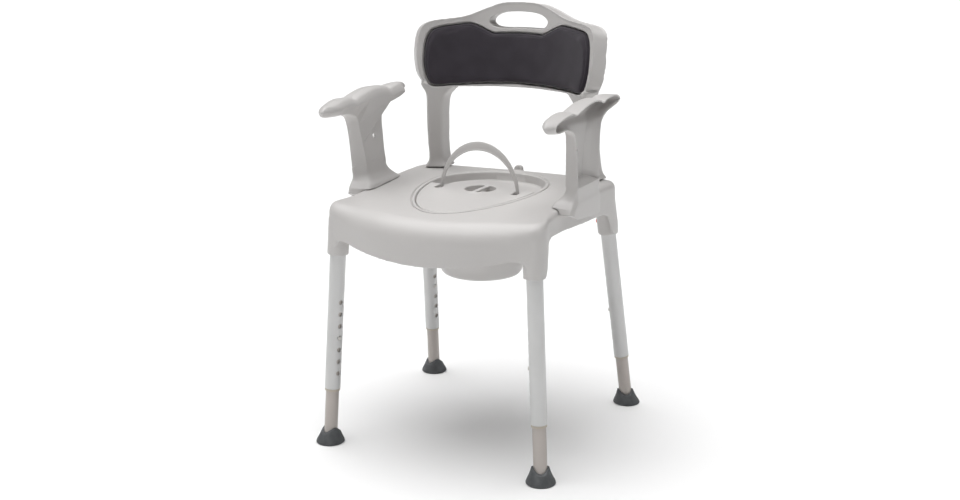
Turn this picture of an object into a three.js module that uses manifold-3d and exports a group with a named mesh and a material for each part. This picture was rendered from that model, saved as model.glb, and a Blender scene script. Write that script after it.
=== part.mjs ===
// Adjustable shower and toilet chair: a moulded seat on four telescopic legs, a lift-out pan
// with a lid and a carrying bail, two plug-in armrests and a plug-in padded backrest.
// Millimetres, +Z up, +Y to the back, the floor at Z = 0 and the chair's middle at X = 0.
import * as THREE from 'three';
import { mergeVertices } from 'three/addons/utils/BufferGeometryUtils.js';
import Module from 'manifold-3d';

const wasm = await Module();
wasm.setup();

// ---- driving dimensions ---------------------------------------------------------------
const GAP = 0.35;                 // running gap between pieces that touch
const WALL = 4;                   // wall of the moulded plastic

// legs: foot centre on the floor, and how far the axis moves per millimetre of height
const LEGS = {
  fl: { foot: [-236, -223.75], rake: [0.0575, 0.0338] },
  fr: { foot: [236, -223.75], rake: [-0.0575, 0.0338] },
  rl: { foot: [-242.6, 253.25], rake: [0.0654, -0.189] },
  rr: { foot: [242.6, 253.25], rake: [-0.0654, -0.189] },
};
const SOCKET_R = 21.5;
const SOCKET_BOTTOM = { fl: 400, fr: 400, rl: 405, rr: 405 };
const SOCKET_TOP = 474;
const OUTER_TUBE_R = 16;
const OUTER_TUBE_WALL = 1.8;
const OUTER_TUBE_BOTTOM = 118;
const OUTER_TUBE_TOP = 464;
const INNER_TUBE_R = 13.5;
const INNER_TUBE_WALL = 1.5;
const INNER_TUBE_BOTTOM = 14;
const INNER_TUBE_TOP = 325;
const HOLE_PITCH = 25;
const HOLE_COUNT = 7;
const LOWEST_HOLE = 152.5;
const HOLE_R = 4.9;
const HOLE_TURN = 0.35;           // the holes look inwards and this much forward
const SNAP_R = 3.9;
const SNAP_AT = 3;                // the snap button rests in the middle hole of the seven
const RELEASE_HEIGHT = 430;
const RELEASE_R = 5;
const RELEASE_HOLE_R = 5.6;
const FOOT_R = 29;

// seat: half outline from the front round to the back, [x, y, edge roll, lower edge height, flare]
const SEAT_EDGE = [
  [0, -281.87, 44, 414, 0], [60, -278, 44, 417, 0], [112, -266, 43, 422, 0],
  [150, -252, 42, 427, 0], [176, -242, 38, 433, 0], [196, -235, 31, 432, 0],
  [212, -229, 25, 412, 1], [225, -219, 20, 401, 3], [231, -204, 15, 402, 3],
  [228, -184, 12, 434, 1], [222, -164, 12, 456, 0],
  [219, -140, 12, 464, 0], [220, -75, 12, 463, 0], [224, -20, 12, 461, 0],
  [228, 40, 12, 460, 0], [231, 90, 12, 459, 0], [233, 125, 13, 452, 1], [234, 155, 14, 406, 4],
  [225, 182, 15, 406, 11], [200, 194, 15, 420, 9], [165, 200, 15, 452, 1], [90, 204, 15, 458, 0],
  [0, 206, 15, 458, 0],
];
const SEAT_HEIGHT = 517;          // top of the seat behind its middle
const SEAT_FALL = 0.05;           // how the top falls towards the front
const FALL_FROM = 45;
const SEAT_WALL = 4.5;
const LUG_Y = [190, 203];         // rounded lug on the middle of the rear rim
const LUG_Z = 519;
const LUG_R = 10;

// egg-shaped opening, narrower at the front: half width, front and rear length, taper
const OPENING = { a: 127.5, front: 198.5, rear: 184, taper: -0.2 };
const EGG_Y = -12.25;
const RIM_DEPTH = 5;              // the pan's flange lies in a rebate this deep
const RIM_LEDGE = 6;
const LIP_DEPTH = 15;

// pan, lid and bail
const PAN_BOTTOM = 332;
const PAN_CENTRE_Y = 8;
const PAN_WALL = 3;
const PAN_R = 88;
const PAN_FOOT_R = 65;
const PAN_FOOT_TURN = [6, 25];    // heights where its foot turns into its side
const WAIST = { a: 93, front: 118, rear: 104, taper: -0.04, y: 2, z: 430 };
// its mouth under the lid is narrower than its rim, with a raised lip that the lid lies on
const MOUTH = { a: 86, front: 125, rear: 110, taper: 0.2, y: -40 };
const MOUTH_DEPTH = 8;
const RIM_INNER = [[9.2, 0.8], [0.35, 0.2]];  // the rim's inner and outer top edge, inset and drop
const RIM_WALL = [11, 7.3, 8];    // insets of the wall under the rim: inside, at the ledge, outside
const LIP = 3.5;
const LEDGE = 8.6;                // the ledge between lip and rim, below the seat's top
const TROUGH = 10.4;              // how much deeper the channel for the folded bail is
const TROUGH_START = [-45, -22];
const BOSS_FROM = 118;            // bosses that carry the bail's pins, outer and inner end
const BOSS_TO = 90.5;
const BOSS_R = 4;
const PIN_TO = 82;
const LID_REAR = 80;              // how far the lid reaches behind the bail's pivots
const LID_FRONT = -230;
const LID_REAR_HALF = 80.5;
const LID_EAR_Y = 8;              // behind this the lid fits between the arms of the folded bail
const LID_SLOT = [79, 93];        // slots beside the bail's ends
const LID_SLOT_Y = -26;
const GRIP_R = 32;
const GRIP_Y = 2;
const GRIP_DEPTH = 16.5;
const BAIL_Y = -3;
const BAIL_R = 89;
const BAIL_HIGH = 107;            // from the pivots to the top of the bow
const BAIL_TOP_WIDTH = 18;
const BAIL_END_WIDTH = 6;
const BAIL_THICK = 3;
const PIVOT_DROP = 12;            // bail pivots below the seat's top
const PIN_R = 2.5;

// backrest: a dished plate that leans back
const BACK_Y = 173.25;
const BACK_Z = 707;
const BACK_LEAN = 0.157;
const BACK_DISH = 0.00205;
const BACK_DEPTH = 38;
const BACK_SPLAY = 1;
const BACK_ROUND = 7;             // the top falls away this much towards the back
const POST_FOOT_Y = 68;           // how far the posts' feet stand behind the plate's line
const POST_TOP = 705;
const POST_DROP = 188;
const PAD_DEPTH = 11;
const PAD_PROUD = 3;
// half outlines across the plate, [distance from the middle, lower edge, upper edge]
const BACK_OUTLINE = [
  [0, 699, 878], [20, 699, 877.5], [41, 699, 875.5], [62, 698.5, 869], [87, 698, 858.5],
  [108, 697.5, 850], [128, 697, 845], [160, 697, 841], [176, 699, 838], [186, 712, 833],
  [193, 729, 824], [197, 752, 808], [198.5, 774, 790],
];
const PAD_OUTLINE = [
  [0, 707, 815], [40, 706, 813.5], [55, 705.5, 813], [68, 705, 818], [86, 704, 827],
  [101, 703, 832.5], [109, 702.5, 833.5], [138, 701, 830], [160, 699.5, 826.5],
  [172, 703, 822], [180, 717, 813], [185.5, 740, 795], [187, 758, 777],
];
const HAND_HOLE = [
  [-67, 837], [-63, 828.5], [-52, 823.5], [0, 823], [52, 823.5], [63, 828.5], [67, 837], [60, 846],
  [42, 853.5], [0, 857], [-42, 853.5], [-60, 846],
];
// posts from the plate down to the seat, [height, inner side, outer side, growth all round]
const POST_SECTIONS = [
  [707, 127, 189, 0], [698, 132, 186, 0], [689, 140, 181.5, 0], [679, 148, 179.5, 0],
  [660, 152.5, 180, 0], [610, 157, 183, 0], [575, 160.5, 185, 0], [540, 161.5, 187, 0],
  [530, 161.5, 187.5, 3], [523, 161.5, 188, 8], [519.5, 161.5, 188, 10],
];
const POST_DEPTH = 40;
const POST_FLARE = 18;            // the rear of a post is this much further out
const POST_SWEEP = 1.3;
const POST_TONGUE = { x: [165, 186], y: [152, 180], depth: 44 };

// armrest: side outlines [y, z] of its open outer rim and of its closed inner face
const ARM_RIM = [
  [-205, 673], [-208, 681], [-200, 687.5], [-185, 692], [-162, 697], [-135, 698.5], [-115, 694.5],
  [-102, 698], [-80, 703], [-45, 708.5], [-10, 709], [12, 706], [26, 701.5], [40, 704.5],
  [70, 707], [105, 706.5], [128, 702], [137, 695], [125, 689], [85, 684], [50, 678], [33, 668],
  [25, 644], [23, 600], [23, 570], [26, 546], [-86, 546], [-92, 566], [-97, 598], [-105, 634],
  [-115, 656], [-136, 666], [-162, 669.5], [-190, 669],
];
const ARM_FACE = [
  [-176, 676], [-178, 680], [-175, 683], [-168, 685], [-152, 686.5], [-132, 686], [-114, 684],
  [-100, 686], [-80, 689], [-48, 693], [-12, 693], [12, 691], [29, 688.5], [42, 690.5],
  [55, 692.5], [65, 693], [73, 692], [76, 690], [72, 687.5], [56, 683], [34, 678], [10, 671],
  [-3, 652], [-5, 610], [-5, 575], [-3, 546], [-77, 546], [-81, 566], [-88, 598], [-96, 634],
  [-103, 657], [-125, 667.5], [-150, 671], [-168, 672.5],
];
const ARM_CREST = [2, 16];        // the outline points that lie on the arm's top
const ARM_COLUMN = [21, 30];      // and those that lie on its column
const ARM_NOSE = [130, 200];      // its front end is drawn forward between these distances
const ARM_TAIL = [40, 125];       // and its rear end is drawn forward between these
const FACE_X = [219, 225.5, 214]; // inner face at the column's foot, at its top and at the arm
const FACE_TURN = [[550, 655], [662, 684]];
const RIM_X = 249;
const RIM_TURN = [655, 697];
const RIM_BOW = 7;                // the arm's rim bows out by this much in its middle
const BOW_MIDDLE = -45;
const BOW_HALF = 175;
// across the arm: share, how near the arm and the column are to the rim, top, nose, tail
const ARM_STATIONS = [
  [0, 0, 0, 0, 0, 6], [0.08, 0.45, 0.08, 1, 1, 25], [0.22, 0.8, 0.25, 3, 3, 37],
  [0.45, 1, 0.55, 3, 11, 33], [0.75, 1, 0.85, 1.5, 9, 11], [1, 1, 1, 0, 0, 0],
];
const ARM_HOLLOW = [[0.16, 6], [0.3, 4.5], [0.5, WALL], [0.75, WALL], [1, WALL]];  // share, wall
// its foot, [height, inner x, inner y from, to, outer x, outer y from, to]
const ARM_FOOT = [
  [562, 219, -81, -5, 249, -92, 25], [540, 216, -80, 4, 249.5, -94, 29],
  [527, 208, -86, 18, 250, -99, 34], [519, 200, -97, 30, 251, -106, 39],
  [512, 196, -103, 34, 251, -112, 42], [0, 196, -103, 34, 250, -118, 44],
];
const FOOT_CORNER = [8, 12];
const FLOOR_SLOPE = 12;           // the hollow's floor falls this much towards the rim
const SKIRT_HEIGHT = 480;
const SKIRT_MIDDLE = 20;
const SKIRT_CURVE = 0.0007;
const ARM_TONGUE = { x: [204, 213], y: [-80, 24], depth: 46 };
const TONGUE_TOP = 521;
const SCREW = { y: -42, z: 613, r: 4 };

// colours
const SHELL = { color: 0xdedddb, roughness: 0.42, metalness: 0 };
const TUBE_LIGHT = { color: 0xcfcfcd, roughness: 0.4, metalness: 0.1 };
const TUBE_BEIGE = { color: 0xa59e99, roughness: 0.42, metalness: 0.1 };
const BUSH = { color: 0xb9b1a6, roughness: 0.55, metalness: 0 };
const RUBBER = { color: 0x4b4e50, roughness: 0.8, metalness: 0 };
const STEEL = { color: 0x9a9da0, roughness: 0.35, metalness: 0.9 };
const BUTTON = { color: 0xe65028, roughness: 0.45, metalness: 0 };
const SNAP = { color: 0xd8d6d2, roughness: 0.4, metalness: 0 };
const PAD = { color: 0x342f36, roughness: 0.75, metalness: 0 };

// ---- solids ---------------------------------------------------------------------------
function solid(geometry) {
  const bare = geometry.clone();
  bare.deleteAttribute('normal');
  bare.deleteAttribute('uv');
  const merged = mergeVertices(bare, 1e-4);
  return new wasm.Manifold(new wasm.Mesh({
    numProp: 3,
    vertProperties: merged.attributes.position.array,
    triVerts: Uint32Array.from(merged.index.array),
  }));
}

function geometryOf(body) {
  const { vertProperties, triVerts } = body.getMesh();
  const geometry = new THREE.BufferGeometry();
  geometry.setAttribute('position', new THREE.BufferAttribute(vertProperties, 3));
  geometry.setIndex(new THREE.BufferAttribute(triVerts, 1));
  geometry.computeVertexNormals();
  return geometry;
}

function placed(geometry, matrix) {
  return solid(geometry.clone().applyMatrix4(matrix));
}

// closes a stack of rings, each a list of points in the same order, into one solid
function loft(rings, joined = false) {
  const count = rings[0].length;
  const points = rings.flat();
  const faces = [];
  const bands = joined ? rings.length : rings.length - 1;
  for (let i = 0; i < bands; i++) {
    const low = i * count;
    const high = ((i + 1) % rings.length) * count;
    for (let j = 0; j < count; j++) {
      const k = (j + 1) % count;
      faces.push([low + j, low + k, high + k], [low + j, high + k, high + j]);
    }
  }
  if (!joined) {
    capFaces(rings[0]).forEach(([a, b, c]) => faces.push([c, b, a]));
    const top = (rings.length - 1) * count;
    capFaces(rings[rings.length - 1]).forEach(([a, b, c]) => faces.push([top + a, top + b, top + c]));
  }
  return closedBody(points, faces);
}

// triangles over a ring, worked out in the plane that shows it largest
function capFaces(ring) {
  const normal = new THREE.Vector3();
  ring.forEach((p, i) => normal.add(p.clone().cross(ring[(i + 1) % ring.length])));
  const [x, y, z] = [Math.abs(normal.x), Math.abs(normal.y), Math.abs(normal.z)];
  let flat = ring.map((p) => new THREE.Vector2(p.x, p.y));
  let sign = normal.z;
  if (x >= y && x >= z) {
    flat = ring.map((p) => new THREE.Vector2(p.y, p.z));
    sign = normal.x;
  } else if (y >= z) {
    flat = ring.map((p) => new THREE.Vector2(p.z, p.x));
    sign = normal.y;
  }
  const order = ring.map((_, i) => i);
  if (sign < 0) {
    flat.reverse();
    order.reverse();
  }
  const faces = THREE.ShapeUtils.triangulateShape(flat, []).map((face) => face.map((i) => order[i]));
  return sign < 0 ? faces.map(([a, b, c]) => [c, b, a]) : faces;
}

function closedBody(points, faces) {
  const volume = faces.reduce((sum, [a, b, c]) => (
    sum + points[a].dot(points[b].clone().cross(points[c]))
  ), 0);
  const turned = volume < 0 ? faces.map(([a, b, c]) => [a, c, b]) : faces;
  const geometry = new THREE.BufferGeometry();
  geometry.setAttribute('position', new THREE.Float32BufferAttribute(points.flatMap((p) => p.toArray()), 3));
  geometry.setIndex(turned.flat());
  return solid(geometry);
}

const at = (x, y, z) => new THREE.Vector3(x, y, z);
const lerp = THREE.MathUtils.lerp;
const smooth = (x, low, high) => THREE.MathUtils.smoothstep(x, low, high);

function block([x0, x1], [y0, y1], [z0, z1]) {
  const box = new THREE.BoxGeometry(x1 - x0, y1 - y0, z1 - z0);
  return placed(box, new THREE.Matrix4().makeTranslation((x0 + x1) / 2, (y0 + y1) / 2, (z0 + z1) / 2));
}

// a round bar between two points
function bar(from, to, radius, sides = 16, endRadius = radius) {
  const rod = new THREE.CylinderGeometry(endRadius, radius, from.distanceTo(to), sides);
  const turn = new THREE.Quaternion().setFromUnitVectors(at(0, 1, 0), to.clone().sub(from).normalize());
  const middle = from.clone().add(to).multiplyScalar(0.5);
  return placed(rod, new THREE.Matrix4().compose(middle, turn, at(1, 1, 1)));
}

function mirrored(body) {
  return body.mirror([1, 0, 0]);
}

// ---- the pieces' list -------------------------------------------------------------------
const chair = new THREE.Group();
chair.name = 'shower_chair';

function add(name, body, finish) {
  const mesh = new THREE.Mesh(geometryOf(body), new THREE.MeshStandardMaterial(finish));
  mesh.name = name;
  chair.add(mesh);
}

// ---- seat -------------------------------------------------------------------------------
function seatTop(y) {
  const ahead = FALL_FROM - y;
  return SEAT_HEIGHT - SEAT_FALL * 0.5 * (ahead + Math.hypot(ahead, 20));
}

// a smooth closed run through the half outline and its mirror image
const EDGE_STEPS = 48;
const edgeHalf = SEAT_EDGE.slice(1, -1);
const edgeLoop = [...SEAT_EDGE, ...edgeHalf.reverse().map(([x, ...form]) => [-x, ...form])];
const edgePlan = new THREE.CatmullRomCurve3(edgeLoop.map(([x, y]) => at(x, y, 0)), true);
const edgeForm = new THREE.CatmullRomCurve3(edgeLoop.map(([, , ...form]) => at(...form)), true);

function egg(form, angle, grow = 0) {
  const length = Math.cos(angle) > 0 ? form.front : form.rear;
  const x = (form.a + grow) * Math.sin(angle) * (1 + form.taper * Math.cos(angle));
  return at(x, EGG_Y - (length + grow) * Math.cos(angle), 0);
}

// one radial section of the seat's shell for each step round the opening
function seatSection(step, grow = 0) {
  const along = step / EDGE_STEPS;
  const edge = edgePlan.getPoint(along);
  const { x: roll, y: low, z: flare } = edgeForm.getPoint(along);
  const inner = egg(OPENING, angleOf(edge), -RIM_LEDGE - 4);
  const out = edge.clone().sub(inner).normalize();
  const tangent = edgePlan.getTangent(along);
  const normal = at(tangent.y, -tangent.x, 0).normalize();
  const rim = (inset, z) => edge.clone().addScaledVector(normal, grow - inset).setZ(z);
  return { edge, inner, out, rim, roll, low, flare };
}

function angleOf(edge) {
  return Math.atan2(edge.x / OPENING.a, -(edge.y - EGG_Y) / OPENING.front);
}

const ROLL_STEPS = 4;
function seatRing(step) {
  const { edge, inner, out, rim, roll, low, flare } = seatSection(step);
  const ring = [];
  const top = (p) => seatTop(p.y);
  const put = (p, z) => ring.push(p.clone().setZ(z));
  put(inner, top(inner));
  for (let i = 0; i <= ROLL_STEPS; i++) {
    const turn = (i / ROLL_STEPS) * (Math.PI / 2);
    const p = rim(roll * (1 - Math.sin(turn)), 0);
    put(p, top(edge) - roll * (1 - Math.cos(turn)));
  }
  ring.push(rim(-flare, low));
  ring.push(rim(SEAT_WALL - flare, low));
  for (let i = ROLL_STEPS; i >= 0; i -= 2) {
    const turn = (i / ROLL_STEPS) * (Math.PI / 2);
    const p = rim(SEAT_WALL + (roll - SEAT_WALL) * (1 - Math.sin(turn)), 0);
    put(p, top(edge) - SEAT_WALL - (roll - SEAT_WALL) * (1 - Math.cos(turn)));
  }
  const lip = inner.clone().addScaledVector(out, RIM_LEDGE + SEAT_WALL + 4);
  put(lip, top(inner) - SEAT_WALL - 1);
  put(lip, top(inner) - LIP_DEPTH);
  put(inner, top(inner) - LIP_DEPTH);
  return ring;
}

// the seat's outer form as a filled block, for trimming what fits over it
function seatBlock(grow) {
  const rings = [];
  const steps = [...Array(EDGE_STEPS).keys()];
  rings.push(steps.map((step) => seatSection(step, grow).rim(0, 380)));
  for (let i = ROLL_STEPS; i >= 0; i--) {
    const turn = (i / ROLL_STEPS) * (Math.PI / 2);
    rings.push(steps.map((step) => {
      const { edge, rim, roll } = seatSection(step, grow);
      return rim(roll * (1 - Math.sin(turn)), seatTop(edge.y) + grow - roll * (1 - Math.cos(turn)));
    }));
  }
  rings.push(steps.map((step) => {
    const { inner } = seatSection(step);
    return inner.clone().setZ(seatTop(inner.y) + grow);
  }));
  return loft(rings);
}

// ---- legs -------------------------------------------------------------------------------
function legPoint(leg, z) {
  return at(leg.foot[0] + leg.rake[0] * z, leg.foot[1] + leg.rake[1] * z, z);
}

// direction of the holes: towards the chair's middle and a little forward
function holeWay(leg) {
  const side = -Math.sign(leg.foot[0]);
  const axis = legPoint(leg, 1).sub(legPoint(leg, 0)).normalize();
  const way = at(side * Math.cos(HOLE_TURN), -Math.sin(HOLE_TURN), 0);
  return way.addScaledVector(axis, -way.dot(axis)).normalize();
}

function releaseWay(leg) {
  const axis = legPoint(leg, 1).sub(legPoint(leg, 0)).normalize();
  const way = at(-Math.sign(leg.foot[0]), 0, 0);
  return way.addScaledVector(axis, -way.dot(axis)).normalize();
}

const TUBE_SIDES = 12;
function legTube(leg, bottom, top, radius, wall) {
  const outside = bar(legPoint(leg, bottom), legPoint(leg, top), radius, TUBE_SIDES);
  return outside.subtract(bar(legPoint(leg, bottom - 5), legPoint(leg, top + 5), radius - wall, TUBE_SIDES));
}

function radialBar(leg, z, way, from, to, radius, sides = 10, endRadius = radius) {
  const middle = legPoint(leg, z);
  const start = middle.clone().addScaledVector(way, from);
  const end = middle.clone().addScaledVector(way, to);
  return bar(start, end, radius, sides, endRadius);
}

function addLeg(key, leg) {
  const way = holeWay(leg);
  const release = releaseWay(leg);
  const snapHeight = LOWEST_HOLE + SNAP_AT * HOLE_PITCH;
  const bore = OUTER_TUBE_R - OUTER_TUBE_WALL;

  let outer = legTube(leg, OUTER_TUBE_BOTTOM, OUTER_TUBE_TOP, OUTER_TUBE_R, OUTER_TUBE_WALL);
  for (let i = 0; i < HOLE_COUNT; i++) {
    outer = outer.subtract(radialBar(leg, LOWEST_HOLE + i * HOLE_PITCH, way, 8, 20, HOLE_R, 8));
  }
  outer = outer.subtract(radialBar(leg, RELEASE_HEIGHT, release, 8, 20, RELEASE_HOLE_R, 8));
  add(`outer_tube_${key}`, outer, TUBE_LIGHT);

  const bushTop = OUTER_TUBE_BOTTOM - GAP;
  const bush = bar(legPoint(leg, bushTop - 5), legPoint(leg, bushTop), OUTER_TUBE_R - 0.4, TUBE_SIDES)
    .subtract(bar(legPoint(leg, bushTop - 10), legPoint(leg, bushTop + 10), INNER_TUBE_R + GAP, TUBE_SIDES));
  add(`tube_bush_${key}`, bush, BUSH);

  const inner = legTube(leg, INNER_TUBE_BOTTOM, INNER_TUBE_TOP, INNER_TUBE_R, INNER_TUBE_WALL)
    .subtract(radialBar(leg, snapHeight, way, 5, 20, SNAP_R + GAP, 10));
  add(`inner_tube_${key}`, inner, TUBE_BEIGE);

  const snap = radialBar(leg, snapHeight, way, 7, bore + 3.6, SNAP_R, 10)
    .add(radialBar(leg, snapHeight, way, 6, INNER_TUBE_R - INNER_TUBE_WALL - 2.6, SNAP_R + 1.6, 10));
  add(`snap_button_${key}`, snap, SNAP);

  add(`snap_spring_${key}`, snapSpring(leg, snapHeight, way), STEEL);
  add(`rubber_foot_${key}`, rubberFoot(leg), RUBBER);

  const button = radialBar(leg, RELEASE_HEIGHT, release, 10.5, SOCKET_R + 2.2, RELEASE_R, 12)
    .add(radialBar(leg, RELEASE_HEIGHT, release, 8, 11.5, RELEASE_R + 1.5, 12));
  add(`release_button_${key}`, button, BUTTON);
}

// a bent strip of spring steel inside the inner tube, behind the snap button
function snapSpring(leg, height, way) {
  const axis = legPoint(leg, 1).sub(legPoint(leg, 0)).normalize();
  const side = way.clone().cross(axis).normalize();
  const outline = [[-0.6, 12], [-0.6, 2], [-10.4, -32], [-9.2, -33], [0.6, 0], [0.6, 12]];
  const bend = outline.map(([r, z]) => (
    legPoint(leg, height).addScaledVector(way, r).addScaledVector(axis, z)
  ));
  return loft([-3, 3].map((shift) => bend.map((p) => p.clone().addScaledVector(side, shift))));
}

const FOOT_SIDES = 16;
const FOOT_PROFILE = [
  [FOOT_R - 1.5, 0], [FOOT_R, 2], [FOOT_R - 0.5, 6], [25, 12], [20.5, 22], [18.5, 31], [17.6, 34],
];
const FOOT_FLOOR = 13.5;
function rubberFoot(leg) {
  const rings = FOOT_PROFILE.map(([radius, z]) => circle(legPoint(leg, z), radius, FOOT_SIDES));
  const hole = bar(legPoint(leg, FOOT_FLOOR), legPoint(leg, 60), INNER_TUBE_R + GAP, FOOT_SIDES);
  return loft(rings).subtract(hole);
}

function circle(centre, radius, sides) {
  return [...Array(sides).keys()].map((i) => {
    const turn = (2 * Math.PI * i) / sides;
    return at(centre.x + radius * Math.cos(turn), centre.y + radius * Math.sin(turn), centre.z);
  });
}

// ---- seat shell with its leg sockets and the slots that the armrests and backrest plug into ----
function pocket({ x, y, depth }, sign, grow) {
  const across = sign > 0 ? [x[0] - grow, x[1] + grow] : [-x[1] - grow, -x[0] + grow];
  const top = grow > 1 ? seatTop(y[0]) - 2 : SEAT_HEIGHT + 40;
  return block(across, [y[0] - grow, y[1] + grow], [SEAT_HEIGHT - depth - 3, top]);
}

// what the opening takes out of the seat, a step inside its edge for the rebate
function openingCut(step, low) {
  const { a, front, rear, taper } = OPENING;
  const ring = (drop) => eggRing(a - step, front - step, rear - step, taper, EGG_Y, (y) => seatTop(y) - drop);
  return loft([ring(low), ring(-20)]);
}

function seatShell() {
  let seat = loft([...Array(EDGE_STEPS).keys()].map(seatRing), true);
  seat = seat.subtract(openingCut(0, RIM_DEPTH)).subtract(openingCut(RIM_LEDGE, 60));
  Object.entries(LEGS).forEach(([key, leg]) => {
    seat = seat.add(bar(legPoint(leg, SOCKET_BOTTOM[key]), legPoint(leg, SOCKET_TOP), SOCKET_R, 16));
  });
  const slots = [ARM_TONGUE, POST_TONGUE].flatMap((tongue) => [[tongue, 1], [tongue, -1]]);
  slots.forEach(([tongue, sign]) => {
    seat = seat.add(pocket(tongue, sign, 3));
  });
  slots.forEach(([tongue, sign]) => {
    seat = seat.subtract(pocket(tongue, sign, GAP));
  });
  const bore = OUTER_TUBE_R + GAP;
  Object.values(LEGS).forEach((leg) => {
    const low = legPoint(leg, 380);
    seat = seat.subtract(bar(low, legPoint(leg, OUTER_TUBE_TOP + 2), bore, TUBE_SIDES));
    seat = seat.subtract(radialBar(leg, RELEASE_HEIGHT, releaseWay(leg), 10, 30, RELEASE_HOLE_R, 8));
  });
  return seat.add(rearLug());
}

// a small rounded lug on the middle of the rear rim
function rearLug() {
  const dome = bar(at(0, LUG_Y[0], LUG_Z), at(0, LUG_Y[1], LUG_Z), LUG_R, 16);
  return dome.subtract(block([-20, 20], [170, 210], [SEAT_HEIGHT - 20, SEAT_HEIGHT - 3]));
}

// ---- pan, lid and bail --------------------------------------------------------------------
const PAN_STEPS = 32;
function eggRing(a, front, rear, taper, centre, height, steps = PAN_STEPS) {
  return [...Array(steps).keys()].map((i) => {
    const turn = (2 * Math.PI * i) / steps;
    const length = Math.cos(turn) > 0 ? front : rear;
    const y = centre - length * Math.cos(turn);
    return at(a * Math.sin(turn) * (1 + taper * Math.cos(turn)), y, height(y));
  });
}

// the ledge inside the pan's rim drops behind the middle to leave a channel for the folded bail
function ledgeDepth(y) {
  return LEDGE + TROUGH * smooth(y, ...TROUGH_START);
}

function pan() {
  const flat = (z) => () => z;
  const below = (drop) => (y) => seatTop(y) - drop;
  const ledge = (drop) => (y) => seatTop(y) - ledgeDepth(y) - drop;
  const foot = (radius, z) => eggRing(radius, radius, radius, 0, PAN_CENTRE_Y, flat(PAN_BOTTOM + z));
  const { a, front, rear, taper } = OPENING;
  const [wallInside, wallAbove, wallOutside] = RIM_WALL;
  const rim = (inset, height) => eggRing(a - inset, front - inset, rear - inset, taper, EGG_Y, height);
  const mouth = (grow, height) => (
    eggRing(MOUTH.a + grow, MOUTH.front + grow, MOUTH.rear + grow, MOUTH.taper, MOUTH.y, height)
  );
  const waist = (grow) => (
    eggRing(WAIST.a + grow, WAIST.front + grow, WAIST.rear + grow, WAIST.taper, WAIST.y, flat(WAIST.z))
  );
  const inside = [
    foot(PAN_FOOT_R - 2, PAN_WALL), foot(PAN_R - 9, PAN_FOOT_TURN[0] + PAN_WALL),
    foot(PAN_R - PAN_WALL, PAN_FOOT_TURN[1] + 1), waist(0),
    mouth(0, below(MOUTH_DEPTH + LIP)), mouth(0, below(MOUTH_DEPTH)), mouth(LIP, below(MOUTH_DEPTH)),
    mouth(LIP + 0.4, ledge(0)), rim(wallInside, ledge(0)),
    ...RIM_INNER.map(([step, drop]) => rim(step, below(drop))),
  ];
  const outside = [
    rim(GAP, below(RIM_DEPTH - GAP)), rim(wallAbove, below(RIM_DEPTH - GAP)),
    rim(wallOutside, ledge(PAN_WALL)), mouth(PAN_WALL, ledge(PAN_WALL)), waist(PAN_WALL),
    foot(PAN_R, PAN_FOOT_TURN[1]), foot(PAN_R - 7, PAN_FOOT_TURN[0]), foot(PAN_FOOT_R, 0),
  ];
  let body = loft([...inside, ...outside]);
  [-1, 1].forEach((side) => {
    const pivot = bailPivot(side);
    const pin = (from, to, radius) => (
      bar(pivot.clone().setX(side * from), pivot.clone().setX(side * to), radius, 12)
    );
    body = body.add(pin(BOSS_FROM, BOSS_TO, BOSS_R)).add(pin(BOSS_FROM, PIN_TO, PIN_R));
  });
  return body;
}

function bailPivot(side) {
  return at(side * (BAIL_R - BAIL_END_WIDTH / 2), BAIL_Y, seatTop(BAIL_Y) - PIVOT_DROP);
}

// a crescent strip standing on its two pivots
function bail() {
  const { z } = bailPivot(1);
  const steps = 20;
  const arc = (wide, high) => [...Array(steps + 1).keys()].map((i) => {
    const turn = (Math.PI * i) / steps;
    return [wide * Math.cos(turn), high * Math.sin(turn)];
  });
  const outline = [
    ...arc(BAIL_R, BAIL_HIGH),
    ...arc(BAIL_R - BAIL_END_WIDTH, BAIL_HIGH - BAIL_TOP_WIDTH).reverse(),
  ];
  const face = (y) => outline.map(([x, up]) => at(x, y, z + up));
  let body = loft([face(BAIL_Y - BAIL_THICK / 2), face(BAIL_Y + BAIL_THICK / 2)]);
  [-1, 1].forEach((side) => {
    const eye = bailPivot(side);
    const half = BAIL_END_WIDTH / 2;
    body = body.add(bar(eye.clone().setX(eye.x - half), eye.clone().setX(eye.x + half), 5.5, 16));
    body = body.subtract(bar(eye.clone().setX(eye.x - 9), eye.clone().setX(eye.x + 9), PIN_R + GAP, 12));
  });
  return body;
}

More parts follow.
